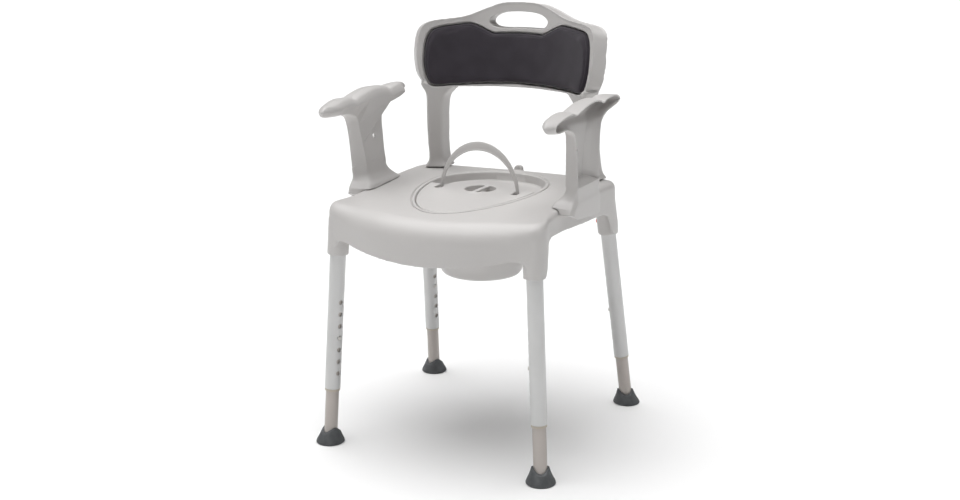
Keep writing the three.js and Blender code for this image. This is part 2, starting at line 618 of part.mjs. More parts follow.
function lid() {
  const layer = (a, front, rear, drop) => (
    eggRing(a, front, rear, OPENING.taper, EGG_Y, (y) => seatTop(y) - drop)
  );
  const under = MOUTH_DEPTH - GAP;
  const plate = loft([
    layer(60, 90, 90, under), layer(113, 178, 158, under), layer(116.4, 182.4, 162.4, 3),
    layer(116.4, 182.4, 162.4, 1.4), layer(114.5, 179.5, 160, 0.6), layer(60, 90, 90, 0.6),
  ]);
  const top = seatTop(BAIL_Y);
  const rearEnd = [...Array(24).keys()].map((i) => {
    const turn = (2 * Math.PI * i) / 24;
    const long = Math.sin(turn) > 0 ? LID_REAR : -LID_FRONT;
    return at(LID_REAR_HALF * Math.cos(turn), BAIL_Y + long * Math.sin(turn), top);
  });
  const tongue = loft([-40, 20].map((dz) => rearEnd.map((p) => p.clone().setZ(top + dz))));
  const front = block([-130, 130], [LID_FRONT, LID_EAR_Y], [top - 40, top + 20]);
  let body = plate.intersect(front.add(tongue));
  [-1, 1].forEach((side) => {
    const across = side > 0 ? LID_SLOT : LID_SLOT.map((x) => -x).reverse();
    body = body.subtract(block(across, [LID_SLOT_Y, LID_EAR_Y + 1], [top - 40, top + 20]));
  });
  const grip = (radius, low, high) => bar(at(0, GRIP_Y, top + low), at(0, GRIP_Y, top + high), radius, 24);
  body = body.add(grip(GRIP_R + 2.5, -GRIP_DEPTH - 2.5, -3)).subtract(grip(GRIP_R, -GRIP_DEPTH, 20));
  const reach = GRIP_R + 1;
  return body.add(block([-5, 5], [GRIP_Y - reach, GRIP_Y + reach], [top - 6, top - 0.8]));
}

// ---- armrests -----------------------------------------------------------------------------
// moves a closed side outline inwards by the wall
function inset(outline, wall) {
  const count = outline.length;
  return outline.map(([y, z], i) => {
    const [y0, z0] = outline[(i + count - 1) % count];
    const [y1, z1] = outline[(i + 1) % count];
    const length = Math.hypot(y1 - y0, z1 - z0);
    return [y + ((z1 - z0) / length) * wall, z - ((y1 - y0) / length) * wall];
  });
}

function armOutline([, wing, column, rise, nose, tail]) {
  const within = (i, [first, last]) => i >= first && i <= last;
  return ARM_RIM.map(([y, z], i) => {
    const blend = within(i, ARM_COLUMN) ? column : wing;
    const along = lerp(ARM_FACE[i][0], y, blend);
    const crest = within(i, ARM_CREST) ? rise : 0;
    const drawn = along - nose * smooth(-along, ...ARM_NOSE) - tail * smooth(along, ...ARM_TAIL);
    return [drawn, lerp(ARM_FACE[i][1], z, blend) + crest];
  });
}

// the shape's values at a share of the way across, between its stations
function armStation(share) {
  const next = Math.max(1, ARM_STATIONS.findIndex(([at]) => at >= share));
  const [from, to] = [ARM_STATIONS[next - 1], ARM_STATIONS[next]];
  return from.map((value, i) => lerp(value, to[i], (share - from[0]) / (to[0] - from[0])));
}

// a point of the armrest, a share of the way from its inner face to its rim
function armPoint(share, [y, z]) {
  const [low, high, arm] = FACE_X;
  const [column, wing] = FACE_TURN.map((turn) => smooth(z, ...turn));
  const face = lerp(lerp(low, high, column), arm, wing);
  const bow = RIM_BOW * Math.max(0, 1 - ((y - BOW_MIDDLE) / BOW_HALF) ** 2);
  return at(lerp(face, RIM_X + bow * smooth(z, ...RIM_TURN), share), y, z);
}

function skirtEdge(y) {
  return SKIRT_HEIGHT + SKIRT_CURVE * (y - SKIRT_MIDDLE) ** 2;
}

function armFoot(shrink, drop) {
  return loft(ARM_FOOT.map(([z, x0, a0, b0, x1, a1, b1], i) => {
    const [across, along] = FOOT_CORNER;
    const [side, front, rear] = [x1 - shrink, a1 + shrink, b1 - shrink];
    const corners = [
      [x0 + shrink, a0 + shrink], [side - across, front], [side, front + along],
      [side, rear - along], [side - across, rear], [x0 + shrink, b0 - shrink],
    ];
    const slope = (x) => (i === 0 ? (FLOOR_SLOPE * (x - x0)) / (x1 - x0) : 0);
    return corners.map(([x, y]) => at(x, y, (z || skirtEdge(y)) - slope(x) - drop));
  }));
}

function armrest() {
  const outside = loft(ARM_STATIONS.map((station) => (
    armOutline(station).map((p) => armPoint(station[0], p))
  )));
  const inside = loft(ARM_HOLLOW.map(([share, wall]) => {
    const outline = inset(armOutline(armStation(share)), wall);
    return outline.map((p) => armPoint(share === 1 ? 1.1 : share, p));
  }));
  const foot = armFoot(0, 0).subtract(armFoot(WALL, 18)).subtract(seatBlock(GAP));
  const { x, y, depth } = ARM_TONGUE;
  const tongue = block(x, y, [SEAT_HEIGHT - depth, TONGUE_TOP]);
  const screwHole = bar(at(190, SCREW.y, SCREW.z), at(260, SCREW.y, SCREW.z), SCREW.r, 10);
  return outside.subtract(inside).add(foot).add(tongue).subtract(screwHole);
}

// ---- backrest -------------------------------------------------------------------------------
// a point of the backrest: across, up, and in from its front face
function backPoint(across, height, depth) {
  const tilt = BACK_SPLAY * 2 * BACK_DISH * across;
  const long = Math.hypot(tilt, 1);
  const front = BACK_Y + BACK_LEAN * (height - BACK_Z) - BACK_DISH * across * across;
  return at(across + (depth * tilt) / long, front + depth / long, height);
}

function backSlab(half, front, back, grow = 0, round = 0) {
  const left = half.slice(1).reverse().map(([u, low, high]) => [-u, low, high]);
  return loft([...left, ...half].map(([u, low, high]) => {
    const across = u + Math.sign(u) * grow;
    return [
      backPoint(across, low - grow, front), backPoint(across, high + grow, front),
      backPoint(across, high + grow - round, back), backPoint(across, low - grow, back),
    ];
  }));
}

function post() {
  return loft(POST_SECTIONS.map(([z, u0, u1, grow]) => {
    const sweep = POST_FOOT_Y * Math.max(0, (POST_TOP - z) / POST_DROP) ** POST_SWEEP;
    const front = (u) => backPoint(u, z, 0).y + sweep;
    const outer = u1 + POST_FLARE;
    return [
      at(u0 - grow, front(u0) - grow, z), at(u1 + grow, front(u1) - grow, z),
      at(outer + grow / 2, front(u1) + POST_DEPTH - 4 + grow, z),
      at(u0 - 2 - grow / 2, front(u0) + POST_DEPTH + grow / 3, z),
    ];
  }));
}

function backrest() {
  let body = backSlab(BACK_OUTLINE, 0, BACK_DEPTH, 0, BACK_ROUND);
  const { x, y, depth } = POST_TONGUE;
  [false, true].forEach((left) => {
    const leg = post().add(block(x, y, [SEAT_HEIGHT - depth, SEAT_HEIGHT + 8]));
    body = body.add(left ? mirrored(leg) : leg);
  });
  body = body.subtract(backSlab(PAD_OUTLINE, -20, PAD_DEPTH + GAP, 1.2));
  body = body.subtract(backSlab(PAD_OUTLINE, PAD_DEPTH + WALL, BACK_DEPTH + 20, 0));
  return body.subtract(handHole());
}

function handHole() {
  return loft([BACK_Y - 50, BACK_Y + 150].map((y) => HAND_HOLE.map(([x, z]) => at(x, y, z))));
}

Object.entries(LEGS).forEach(([key, leg]) => addLeg(key, leg));
add('seat_shell', seatShell(), SHELL);
add('pan', pan(), SHELL);
add('pan_bail', bail(), SHELL);
add('pan_lid', lid(), SHELL);
add('armrest_right', armrest(), SHELL);
add('armrest_left', mirrored(armrest()), SHELL);
add('backrest_frame', backrest(), SHELL);
add('backrest_pad', backSlab(PAD_OUTLINE, -PAD_PROUD, PAD_DEPTH), PAD);

export default chair;
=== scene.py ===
# Looks of the shower and toilet chair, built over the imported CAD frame.
# The forms repeat the CAD's in millimetres, at a finer step, and are scaled to metres as meshes.
import math

import bmesh
import bpy
import numpy as np
from mathutils import Matrix, Vector


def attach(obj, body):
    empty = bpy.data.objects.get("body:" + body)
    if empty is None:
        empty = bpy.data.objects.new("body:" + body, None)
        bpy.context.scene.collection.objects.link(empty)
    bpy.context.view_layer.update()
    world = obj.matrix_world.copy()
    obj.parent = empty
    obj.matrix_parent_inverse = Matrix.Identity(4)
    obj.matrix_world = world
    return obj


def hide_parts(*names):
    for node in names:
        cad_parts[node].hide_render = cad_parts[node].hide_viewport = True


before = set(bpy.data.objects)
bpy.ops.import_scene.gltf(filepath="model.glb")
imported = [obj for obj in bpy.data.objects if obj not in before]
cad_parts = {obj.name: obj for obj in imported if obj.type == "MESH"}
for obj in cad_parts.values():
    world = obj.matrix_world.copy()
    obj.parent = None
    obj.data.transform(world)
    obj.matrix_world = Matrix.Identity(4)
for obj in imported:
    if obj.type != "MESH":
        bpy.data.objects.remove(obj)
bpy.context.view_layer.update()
scene = bpy.context.scene
MM = 0.001

# ---- camera -------------------------------------------------------------------------------
CAMERA_AT = (1.0968, -2.2910, 1.0312)
CAMERA_TARGET = (0, 0, 0.372)
camera = bpy.data.objects.new("camera", bpy.data.cameras.new("camera"))
scene.collection.objects.link(camera)
camera.location = CAMERA_AT
look = Vector(CAMERA_TARGET) - Vector(CAMERA_AT)
camera.rotation_euler = look.to_track_quat("-Z", "Y").to_euler()
camera.data.lens = 47.475
camera.data.shift_y = 0.0051
scene.camera = camera

# ---- sizes shared with the CAD ----------------------------------------------------------------
GAP = 0.35
WALL = 4
LEGS = {
    "fl": ((-236, -223.75), (0.0575, 0.0338)),
    "fr": ((236, -223.75), (-0.0575, 0.0338)),
    "rl": ((-242.6, 253.25), (0.0654, -0.189)),
    "rr": ((242.6, 253.25), (-0.0654, -0.189)),
}
SOCKET_R = 21.5
SOCKET_BOTTOM = {"fl": 400, "fr": 400, "rl": 405, "rr": 405}
SOCKET_TOP = 474
TUBE_R, TUBE_WALL, TUBE_BOTTOM, TUBE_TOP = 16, 1.8, 118, 464
INNER_R, INNER_WALL, INNER_BOTTOM, INNER_TOP = 13.5, 1.5, 14, 325
HOLE_PITCH, HOLE_COUNT, LOWEST_HOLE, HOLE_R, HOLE_TURN = 25, 7, 152.5, 4.9, 0.35
SNAP_R, SNAP_AT, SNAP_PROUD = 3.9, 3, 3.6
RELEASE_HEIGHT, RELEASE_R, RELEASE_HOLE_R, RELEASE_PROUD = 430, 5, 5.6, 2.2
BUSH_HEIGHT, BUSH_INSET = 5, 0.4

# half outline of the seat from the front: x, y, edge roll, lower edge, flare of the lower edge
SEAT_EDGE = [
    [0, -281.87, 44, 414, 0], [60, -278, 44, 417, 0], [112, -266, 43, 422, 0], [150, -252, 42, 427, 0],
    [176, -242, 38, 433, 0], [196, -235, 31, 432, 0], [212, -229, 25, 412, 1], [225, -219, 20, 401, 3],
    [231, -204, 15, 402, 3], [228, -184, 12, 434, 1], [222, -164, 12, 456, 0], [219, -140, 12, 464, 0],
    [220, -75, 12, 463, 0], [224, -20, 12, 461, 0], [228, 40, 12, 460, 0], [231, 90, 12, 459, 0],
    [233, 125, 13, 452, 1], [234, 155, 14, 406, 4], [225, 182, 15, 406, 11], [200, 194, 15, 420, 9],
    [165, 200, 15, 452, 1], [90, 204, 15, 458, 0], [0, 206, 15, 458, 0],
]
SEAT_HEIGHT, SEAT_FALL, FALL_FROM, SEAT_WALL = 517, 0.05, 45, 4.5
OPENING = (127.5, 198.5, 184, -0.2)     # half width, front and rear length, taper
EGG_Y = -12.25
RIM_DEPTH, RIM_LEDGE, LIP_DEPTH = 5, 6, 15
LUG_Y, LUG_Z, LUG_R = (190, 203), 519, 10

PAN_BOTTOM, PAN_CENTRE_Y, PAN_WALL, PAN_R, PAN_FOOT_R = 332, 8, 3, 88, 65
WAIST = (93, 118, 104, -0.04, 2)
WAIST_Z = 430
MOUTH = (86, 125, 110, 0.2, -40)
MOUTH_DEPTH, LIP, LEDGE, TROUGH, TROUGH_START = 8, 3.5, 8.6, 10.4, (-45, -22)
BAIL_Y, BAIL_R, BAIL_HIGH, BAIL_TOP_WIDTH, BAIL_END_WIDTH = -3, 89, 107, 18, 6
PIVOT_DROP, PIN_R = 12, 2.5
LID_REAR, LID_REAR_HALF, LID_EAR_Y, LID_SLOT, LID_SLOT_Y = 80, 80.5, 8, (79, 93), -26
LID_INSET, LID_DISH = 12.3, 2.6
GRIP_R, GRIP_Y, GRIP_DEPTH = 32, 2, 16.5

BACK_Y, BACK_Z, BACK_LEAN, BACK_DISH, BACK_DEPTH = 173.25, 707, 0.157, 0.00205, 38
BACK_SPLAY = 1
POST_FOOT_Y, POST_TOP, POST_DROP, POST_DEPTH, POST_FLARE, POST_SWEEP = 68, 705, 188, 40, 18, 1.3
PAD_DEPTH, PAD_PROUD = 11, 3
BACK_OUTLINE = [
    [0, 699, 878], [20, 699, 877.5], [41, 699, 875.5], [62, 698.5, 869], [87, 698, 858.5],
    [108, 697.5, 850], [128, 697, 845], [160, 697, 841], [176, 699, 838], [186, 712, 833],
    [193, 729, 824], [197, 752, 808], [198.5, 774, 790],
]
PAD_OUTLINE = [
    [0, 707, 815], [40, 706, 813.5], [55, 705.5, 813], [68, 705, 818], [86, 704, 827],
    [101, 703, 832.5], [109, 702.5, 833.5], [138, 701, 830], [160, 699.5, 826.5],
    [172, 703, 822], [180, 717, 813], [185.5, 740, 795], [187, 758, 777],
]
POST_SECTIONS = [
    [707, 127, 189, 0], [698, 132, 186, 0], [689, 140, 181.5, 0], [679, 148, 179.5, 0],
    [660, 152.5, 180, 0], [610, 157, 183, 0], [575, 160.5, 185, 0], [540, 161.5, 187, 0],
    [530, 161.5, 187.5, 3], [523, 161.5, 188, 8], [519.5, 161.5, 188, 10],
]
HAND_HOLE = [
    [-67, 837], [-63, 828.5], [-52, 823.5], [0, 823], [52, 823.5], [63, 828.5], [67, 837], [60, 846],
    [42, 853.5], [0, 857], [-42, 853.5], [-60, 846],
]
POST_TONGUE = ((165, 186), (152, 180), 44)

ARM_RIM = [
    [-205, 673], [-208, 681], [-200, 687.5], [-185, 692], [-162, 697], [-135, 698.5], [-115, 694.5],
    [-102, 698], [-80, 703], [-45, 708.5], [-10, 709], [12, 706], [26, 701.5], [40, 704.5],
    [70, 707], [105, 706.5], [128, 702], [137, 695], [125, 689], [85, 684], [50, 678], [33, 668],
    [25, 644], [23, 600], [23, 570], [26, 546], [-86, 546], [-92, 566], [-97, 598], [-105, 634],
    [-115, 656], [-136, 666], [-162, 669.5], [-190, 669],
]
ARM_FACE = [
    [-176, 676], [-178, 680], [-175, 683], [-168, 685], [-152, 686.5], [-132, 686], [-114, 684],
    [-100, 686], [-80, 689], [-48, 693], [-12, 693], [12, 691], [29, 688.5], [42, 690.5],
    [55, 692.5], [65, 693], [73, 692], [76, 690], [72, 687.5], [56, 683], [34, 678], [10, 671],
    [-3, 652], [-5, 610], [-5, 575], [-3, 546], [-77, 546], [-81, 566], [-88, 598], [-96, 634],
    [-103, 657], [-125, 667.5], [-150, 671], [-168, 672.5],
]
ARM_CREST, ARM_COLUMN, ARM_NOSE, ARM_TAIL = (2, 16), (21, 30), (130, 200), (40, 125)
FACE_X, FACE_TURN = (219, 225.5, 214), ((550, 655), (662, 684))
RIM_X, RIM_TURN, RIM_BOW, BOW_MIDDLE, BOW_HALF = 249, (655, 697), 7, -45, 175
ARM_STATIONS = [
    [0, 0, 0, 0, 0, 6], [0.08, 0.45, 0.08, 1, 1, 25], [0.22, 0.8, 0.25, 3, 3, 37],
    [0.45, 1, 0.55, 3, 11, 33], [0.75, 1, 0.85, 1.5, 9, 11], [1, 1, 1, 0, 0, 0],
]
ARM_HOLLOW_FROM, ARM_RIM_WALL, ARM_DEEP_WALL = 0.16, 2.6, 6
ARM_FOOT = [
    [562, 219, -81, -5, 249, -92, 25], [540, 216, -80, 4, 249.5, -94, 29],
    [527, 208, -86, 18, 250, -99, 34], [519, 200, -97, 30, 251, -106, 39],
    [512, 196, -103, 34, 251, -112, 42],
]
FLOOR_SLOPE, SKIRT_HEIGHT, SKIRT_MIDDLE, SKIRT_CURVE, SKIRT_NOSE = 12, 480, 20, 0.0007, 9
SKIRT_PLAN = (196, -103, 34, 250, -118, 44)
FOOT_TOP, SKIRT_TOP, FOOT_CORNER = 562, 512, (8, 12)
ARM_TONGUE, TONGUE_TOP = ((204, 213), (-80, 24), 46), 521
SCREW_Y, SCREW_Z, SCREW_R = -42, 613, 5


# ---- curves and meshes ---------------------------------------------------------------------------
def spline(points, samples, closed=True):
    """A centripetal Catmull-Rom run through the points, as in the CAD."""
    p = np.array(points, float)
    n = len(p)
    if closed:
        t = np.arange(samples) / samples * n
        pick = lambda i: p[i % n]
    else:
        p = np.vstack([2 * p[0] - p[1], p, 2 * p[-1] - p[-2]])
        t = np.linspace(0, n - 1, samples)
        t[-1] -= 1e-9
        pick = lambda i: p[i + 1]
    i = np.floor(t).astype(int)
    w = (t - i)[:, None]
    p0, p1, p2, p3 = (pick(i + k) for k in (-1, 0, 1, 2))
    step = lambda a, b: np.maximum(np.linalg.norm(b - a, axis=1) ** 0.5, 1e-4)[:, None]
    d0, d1, d2 = step(p0, p1), step(p1, p2), step(p2, p3)
    d0 = np.where(d0 < 1e-3, d1, d0)
    d2 = np.where(d2 < 1e-3, d1, d2)
    m1 = ((p1 - p0) / d0 - (p2 - p0) / (d0 + d1) + (p2 - p1) / d1) * d1
    m2 = ((p2 - p1) / d1 - (p3 - p1) / (d1 + d2) + (p3 - p2) / d2) * d1
    return p1 + m1 * w + (3 * (p2 - p1) - 2 * m1 - m2) * w**2 + (2 * (p1 - p2) + m1 + m2) * w**3


def smooth_rows(rows, samples):
    """More rows between the given ones, on a smooth run."""
    rows = np.array(rows, float)
    run = spline(rows.reshape(len(rows), -1), samples, closed=False)
    return list(run.reshape(samples, *rows.shape[1:]))


def smoothstep(x, low, high):
    t = np.clip((x - low) / (high - low), 0, 1)
    return t * t * (3 - 2 * t)


def rows_mesh(rows, joined=False, caps=True):
    """Points and faces of a stack of closed rows."""
    count = len(rows[0])
    points = np.vstack(rows)
    faces = []
    bands = len(rows) if joined else len(rows) - 1
    for i in range(bands):
        low, high = i * count, ((i + 1) % len(rows)) * count
        for j in range(count):
            k = (j + 1) % count
            faces.append((low + j, low + k, high + k, high + j))
    if caps and not joined:
        faces.append(tuple(reversed(range(count))))
        faces.append(tuple(range((len(rows) - 1) * count, len(rows) * count)))
    return points, faces


def new_object(name, *parts):
    """A mesh object in metres from parts in millimetres, each closed, with its faces turned outwards."""
    work = bmesh.new()
    for points, faces in parts:
        verts = [work.verts.new(p) for p in np.asarray(points, float) * MM]
        part_faces = [work.faces.new([verts[i] for i in face]) for face in faces]
        bmesh.ops.recalc_face_normals(work, faces=part_faces)
    mesh = bpy.data.meshes.new(name)
    work.to_mesh(mesh)
    work.free()
    obj = bpy.data.objects.new(name, mesh)
    scene.collection.objects.link(obj)
    return obj


def bake(obj):
    """Applies the object's modifiers."""
    graph = bpy.context.evaluated_depsgraph_get()
    mesh = bpy.data.meshes.new_from_object(obj.evaluated_get(graph))
    obj.modifiers.clear()
    obj.data = mesh
    return obj


def boolean(obj, other, operation="DIFFERENCE"):
    modifier = obj.modifiers.new("cut", "BOOLEAN")
    modifier.operation = operation
    modifier.solver = "EXACT"
    modifier.object = other
    bake(obj)
    bpy.data.objects.remove(other)
    return obj


def remesh(obj, voxel, rounds, factor=0.5):
    """Joins overlapping solids into one moulded skin with small fillets."""
    modifier = obj.modifiers.new("skin", "REMESH")
    modifier.mode = "VOXEL"
    modifier.voxel_size = voxel * MM
    soften = obj.modifiers.new("soften", "SMOOTH")
    soften.iterations = rounds
    soften.factor = factor
    return bake(obj)


def finished(obj, material, body, *nodes, smooth=True):
    for polygon in obj.data.polygons:
        polygon.use_smooth = smooth
    obj.data.materials.clear()
    obj.data.materials.append(material)
    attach(obj, body)
    if nodes:
        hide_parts(*nodes)
    return obj


def box(x, y, z):
    points = [(a, b, c) for c in z for b in y for a in x]
    faces = [(0, 2, 3, 1), (4, 5, 7, 6), (0, 1, 5, 4), (2, 6, 7, 3), (0, 4, 6, 2), (1, 3, 7, 5)]
    return np.array(points, float), faces


def frame_along(axis):
    """Two unit vectors square to an axis."""
    axis = axis / np.linalg.norm(axis)
    side = np.cross(axis, (0, 0, 1) if abs(axis[2]) < 0.9 else (1, 0, 0))
    side /= np.linalg.norm(side)
    return axis, side, np.cross(axis, side)


def lathe(profile, origin, axis, sides=48, closed=False):
    """Turns a profile of (distance along, radius) about an axis; ends at radius 0 are tiny circles."""
    axis, side, up = frame_along(np.asarray(axis, float))
    turn = np.arange(sides) / sides * 2 * np.pi
    circle = np.outer(np.cos(turn), side) + np.outer(np.sin(turn), up)
    rows = [np.asarray(origin) + axis * along + circle * max(radius, 0.02) for along, radius in profile]
    return rows_mesh(rows, joined=closed)


def rounded_polygon(corners, per_edge=12, reach=3):
    """A polygon with softened corners."""
    corners = np.asarray(corners, float)
    ends = np.roll(corners, -1, axis=0)
    t = (np.arange(per_edge) / per_edge)[:, None]
    run = np.vstack([a + (b - a) * t for a, b in zip(corners, ends)])
    return sum(np.roll(run, k, axis=0) for k in range(-reach, reach + 1)) / (2 * reach + 1)


def mirror(part):
    points, faces = part
    return points * (-1, 1, 1), [tuple(reversed(face)) for face in faces]


# ---- materials -----------------------------------------------------------------------------------
def material(name, colour, rough, **looks):
    """A procedural finish: soft mottling, fine grain in the bump, and roughness that wanders."""
    mat = bpy.data.materials.new(name)
    mat.use_nodes = True
    nodes, links = mat.node_tree.nodes, mat.node_tree.links
    shader = nodes["Principled BSDF"]
    place = nodes.new("ShaderNodeTexCoord").outputs["Object"]

    def noise(scale, detail=3, stretch=None):
        source = place
        if stretch:
            mapping = nodes.new("ShaderNodeMapping")
            mapping.inputs["Scale"].default_value = stretch
            links.new(source, mapping.inputs["Vector"])
            source = mapping.outputs["Vector"]
        node = nodes.new("ShaderNodeTexNoise")
        node.inputs["Scale"].default_value = scale
        node.inputs["Detail"].default_value = detail
        links.new(source, node.inputs["Vector"])
        return node.outputs["Fac"]

    ramp = nodes.new("ShaderNodeValToRGB")
    spread = looks.get("spread", 0.03)
    low = [max(0, c * (1 - spread)) for c in colour]
    high = [min(1, c * (1 + spread)) for c in colour]
    ramp.color_ramp.elements[0].position = 0.3
    ramp.color_ramp.elements[1].position = 0.7
    ramp.color_ramp.elements[0].color = (*low, 1)
    ramp.color_ramp.elements[1].color = (*high, 1)
    links.new(noise(looks.get("mottle", 14)), ramp.inputs["Fac"])
    links.new(ramp.outputs["Color"], shader.inputs["Base Color"])

    span = nodes.new("ShaderNodeMapRange")
    span.inputs["To Min"].default_value = rough - looks.get("rough_spread", 0.05)
    span.inputs["To Max"].default_value = rough + looks.get("rough_spread", 0.05)
    links.new(noise(looks.get("rough_scale", 60), stretch=looks.get("stretch")), span.inputs["Value"])
    links.new(span.outputs["Result"], shader.inputs["Roughness"])

    bump = nodes.new("ShaderNodeBump")
    bump.inputs["Strength"].default_value = looks.get("bump", 0.12)
    bump.inputs["Distance"].default_value = looks.get("bump_depth", 0.0002)
    links.new(noise(looks.get("grain", 900), 2, looks.get("stretch")), bump.inputs["Height"])
    links.new(bump.outputs["Normal"], shader.inputs["Normal"])
    shader.inputs["Metallic"].default_value = looks.get("metallic", 0)
    shader.inputs["Specular IOR Level"].default_value = looks.get("specular", 0.5)
    shader.inputs["Sheen Weight"].default_value = looks.get("sheen", 0)
    shader.inputs["Coat Weight"].default_value = looks.get("coat", 0)
    return mat


def cloth_material(name, colour):
    """A fine plain weave of two crossed bands with a little fuzz."""
    mat = material(name, colour, 0.82, mottle=30, spread=0.12, bump=0.1, grain=1500, sheen=0.25, specular=0.25)
    nodes, links = mat.node_tree.nodes, mat.node_tree.links
    place = nodes.new("ShaderNodeTexCoord").outputs["Object"]
    heights = []
    for direction in ("X", "Z"):
        wave = nodes.new("ShaderNodeTexWave")
        wave.wave_type = "BANDS"
        wave.bands_direction = direction
        wave.inputs["Scale"].default_value = 260
        wave.inputs["Distortion"].default_value = 0.6
        links.new(place, wave.inputs["Vector"])
        heights.append(wave.outputs["Fac"])
    weave = nodes.new("ShaderNodeMath")
    weave.operation = "MAXIMUM"
    links.new(heights[0], weave.inputs[0])
    links.new(heights[1], weave.inputs[1])
    fine = next(node for node in nodes if node.type == "BUMP")
    coarse = nodes.new("ShaderNodeBump")
    coarse.inputs["Strength"].default_value = 0.35
    coarse.inputs["Distance"].default_value = 0.0003
    links.new(weave.outputs["Value"], coarse.inputs["Height"])
    links.new(coarse.outputs["Normal"], fine.inputs["Normal"])
    return mat


SHELL = material("shell_plastic", (0.572, 0.556, 0.545), 0.42, mottle=9, spread=0.012, bump=0.10, grain=1100)
TUBE = material("outer_tube_metal", (0.62, 0.62, 0.615), 0.36, metallic=0.25, stretch=(1, 1, 0.03), grain=1500,
                rough_scale=400, bump=0.05)
INNER = material("inner_tube_metal", (0.48, 0.44, 0.412), 0.38, metallic=0.25, stretch=(1, 1, 0.03), grain=1500,
                 rough_scale=400, bump=0.05)
BUSH = material("bush_plastic", (0.50, 0.45, 0.38), 0.5, mottle=40)
RUBBER = material("foot_rubber", (0.092, 0.097, 0.101), 0.62, mottle=60, spread=0.25, bump=0.5, grain=500,
                  bump_depth=0.0004)
STEEL = material("spring_steel", (0.6, 0.61, 0.62), 0.3, metallic=1, grain=1800, stretch=(1, 1, 0.05))
BUTTON = material("button_red", (0.80, 0.10, 0.035), 0.35, mottle=80, bump=0.05)
SNAP = material("snap_plastic", (0.66, 0.64, 0.61), 0.4, mottle=80, bump=0.05)
PAD = cloth_material("pad_cloth", (0.040, 0.034, 0.043))


# ---- legs ----------------------------------------------------------------------------------------
def leg_point(key, z):
    (x, y), (rx, ry) = LEGS[key]
    return np.array((x + rx * z, y + ry * z, z), float)


def leg_axis(key):
    axis = leg_point(key, 1) - leg_point(key, 0)
    return axis / np.linalg.norm(axis)


def square_to_leg(key, way):
    axis = leg_axis(key)
    way = np.asarray(way, float)
    way = way - axis * way.dot(axis)
    return way / np.linalg.norm(way)


def inward(key):
    return -np.sign(LEGS[key][0][0])


def hole_way(key):
    return square_to_leg(key, (inward(key) * math.cos(HOLE_TURN), -math.sin(HOLE_TURN), 0))


def release_way(key):
    return square_to_leg(key, (inward(key), 0, 0))


def tube(key, bottom, top, radius, wall, bevel=0.4):
    length = np.linalg.norm(leg_point(key, top) - leg_point(key, bottom))
    inner = radius - wall
    profile = [
        (0, inner + bevel), (0, radius - bevel), (bevel, radius), (length - bevel, radius),
        (length, radius - bevel), (length, inner + bevel), (length - bevel, inner), (bevel, inner),
    ]
    return lathe(profile, leg_point(key, bottom), leg_axis(key), closed=True)


def radial(key, z, way, profile, sides=32):
    return lathe(profile, leg_point(key, z), way, sides)


def button_profile(radius, head, rounding, flange, lip):
    """A domed button with a flange at its inner end: distances out from the leg's axis, and radii."""
    dome = [(head - rounding * (1 - math.sin(a)), radius - rounding * (1 - math.cos(a)))
            for a in np.linspace(0, 1.57, 6)]
    start, end = flange
    foot = [(start, 0), (start, radius + lip), (end, radius + lip), (end, radius)]
    return foot + dome + [(head, 0)]


def make_leg(key):
    body = f"leg_{key}"
    outer = new_object(f"outer_tube_skin_{key}", tube(key, TUBE_BOTTOM, TUBE_TOP, TUBE_R, TUBE_WALL))
    cuts = [radial(key, LOWEST_HOLE + i * HOLE_PITCH, hole_way(key), [(8, HOLE_R), (20, HOLE_R)])
            for i in range(HOLE_COUNT)]
    cuts.append(radial(key, RELEASE_HEIGHT, release_way(key), [(8, RELEASE_HOLE_R), (20, RELEASE_HOLE_R)]))
    boolean(outer, new_object("cutter", *cuts))
    smooth_by_angle(finished(outer, TUBE, "seat", f"outer_tube_{key}"))

    snap_height = LOWEST_HOLE + SNAP_AT * HOLE_PITCH
    inner = new_object(f"inner_tube_skin_{key}", tube(key, INNER_BOTTOM, INNER_TOP, INNER_R, INNER_WALL))
    snap_hole = [(5, SNAP_R + GAP), (20, SNAP_R + GAP)]
    boolean(inner, new_object("cutter", radial(key, snap_height, hole_way(key), snap_hole)))
    smooth_by_angle(finished(inner, INNER, body, f"inner_tube_{key}"))

    top = TUBE_BOTTOM - GAP
    low, high = leg_point(key, top - BUSH_HEIGHT), leg_point(key, top)
    deep = np.linalg.norm(high - low)
    r = TUBE_R - BUSH_INSET
    ring = [(0, INNER_R + GAP), (0, r - 1), (0.5, r - 0.3), (1.4, r), (deep, r), (deep, INNER_R + GAP)]
    smooth_by_angle(finished(new_object(f"tube_bush_skin_{key}", lathe(ring, low, leg_axis(key), closed=True)),
                             BUSH, "seat", f"tube_bush_{key}"))

    snap = button_profile(SNAP_R, TUBE_R - TUBE_WALL + SNAP_PROUD, 1.6, (6, 9.4), 1.6)
    smooth_by_angle(finished(
        new_object(f"snap_button_skin_{key}", radial(key, snap_height, hole_way(key), snap)),
        SNAP, f"snap_{key}", f"snap_button_{key}"))

    button = button_profile(RELEASE_R, SOCKET_R + RELEASE_PROUD, 2, (8, 11.5), 1.5)
    smooth_by_angle(finished(
        new_object(f"release_button_skin_{key}", radial(key, RELEASE_HEIGHT, release_way(key), button)),
        BUTTON, f"release_{key}", f"release_button_{key}"))
    make_foot(key)


# radius and height down the foot's flare, then the collar's height, wave and radius
FOOT_SPREAD = [(27.6, 0), (29, 1.6), (28.8, 4), (27.4, 7.5), (25.2, 11.5), (22.6, 17), (20.4, 22.5), (18.6, 28)]
COLLAR_HEIGHT, COLLAR_WAVE, COLLAR_R = 28.5, 5.2, 17.4
DIP_WAY = (-0.463, -0.887)
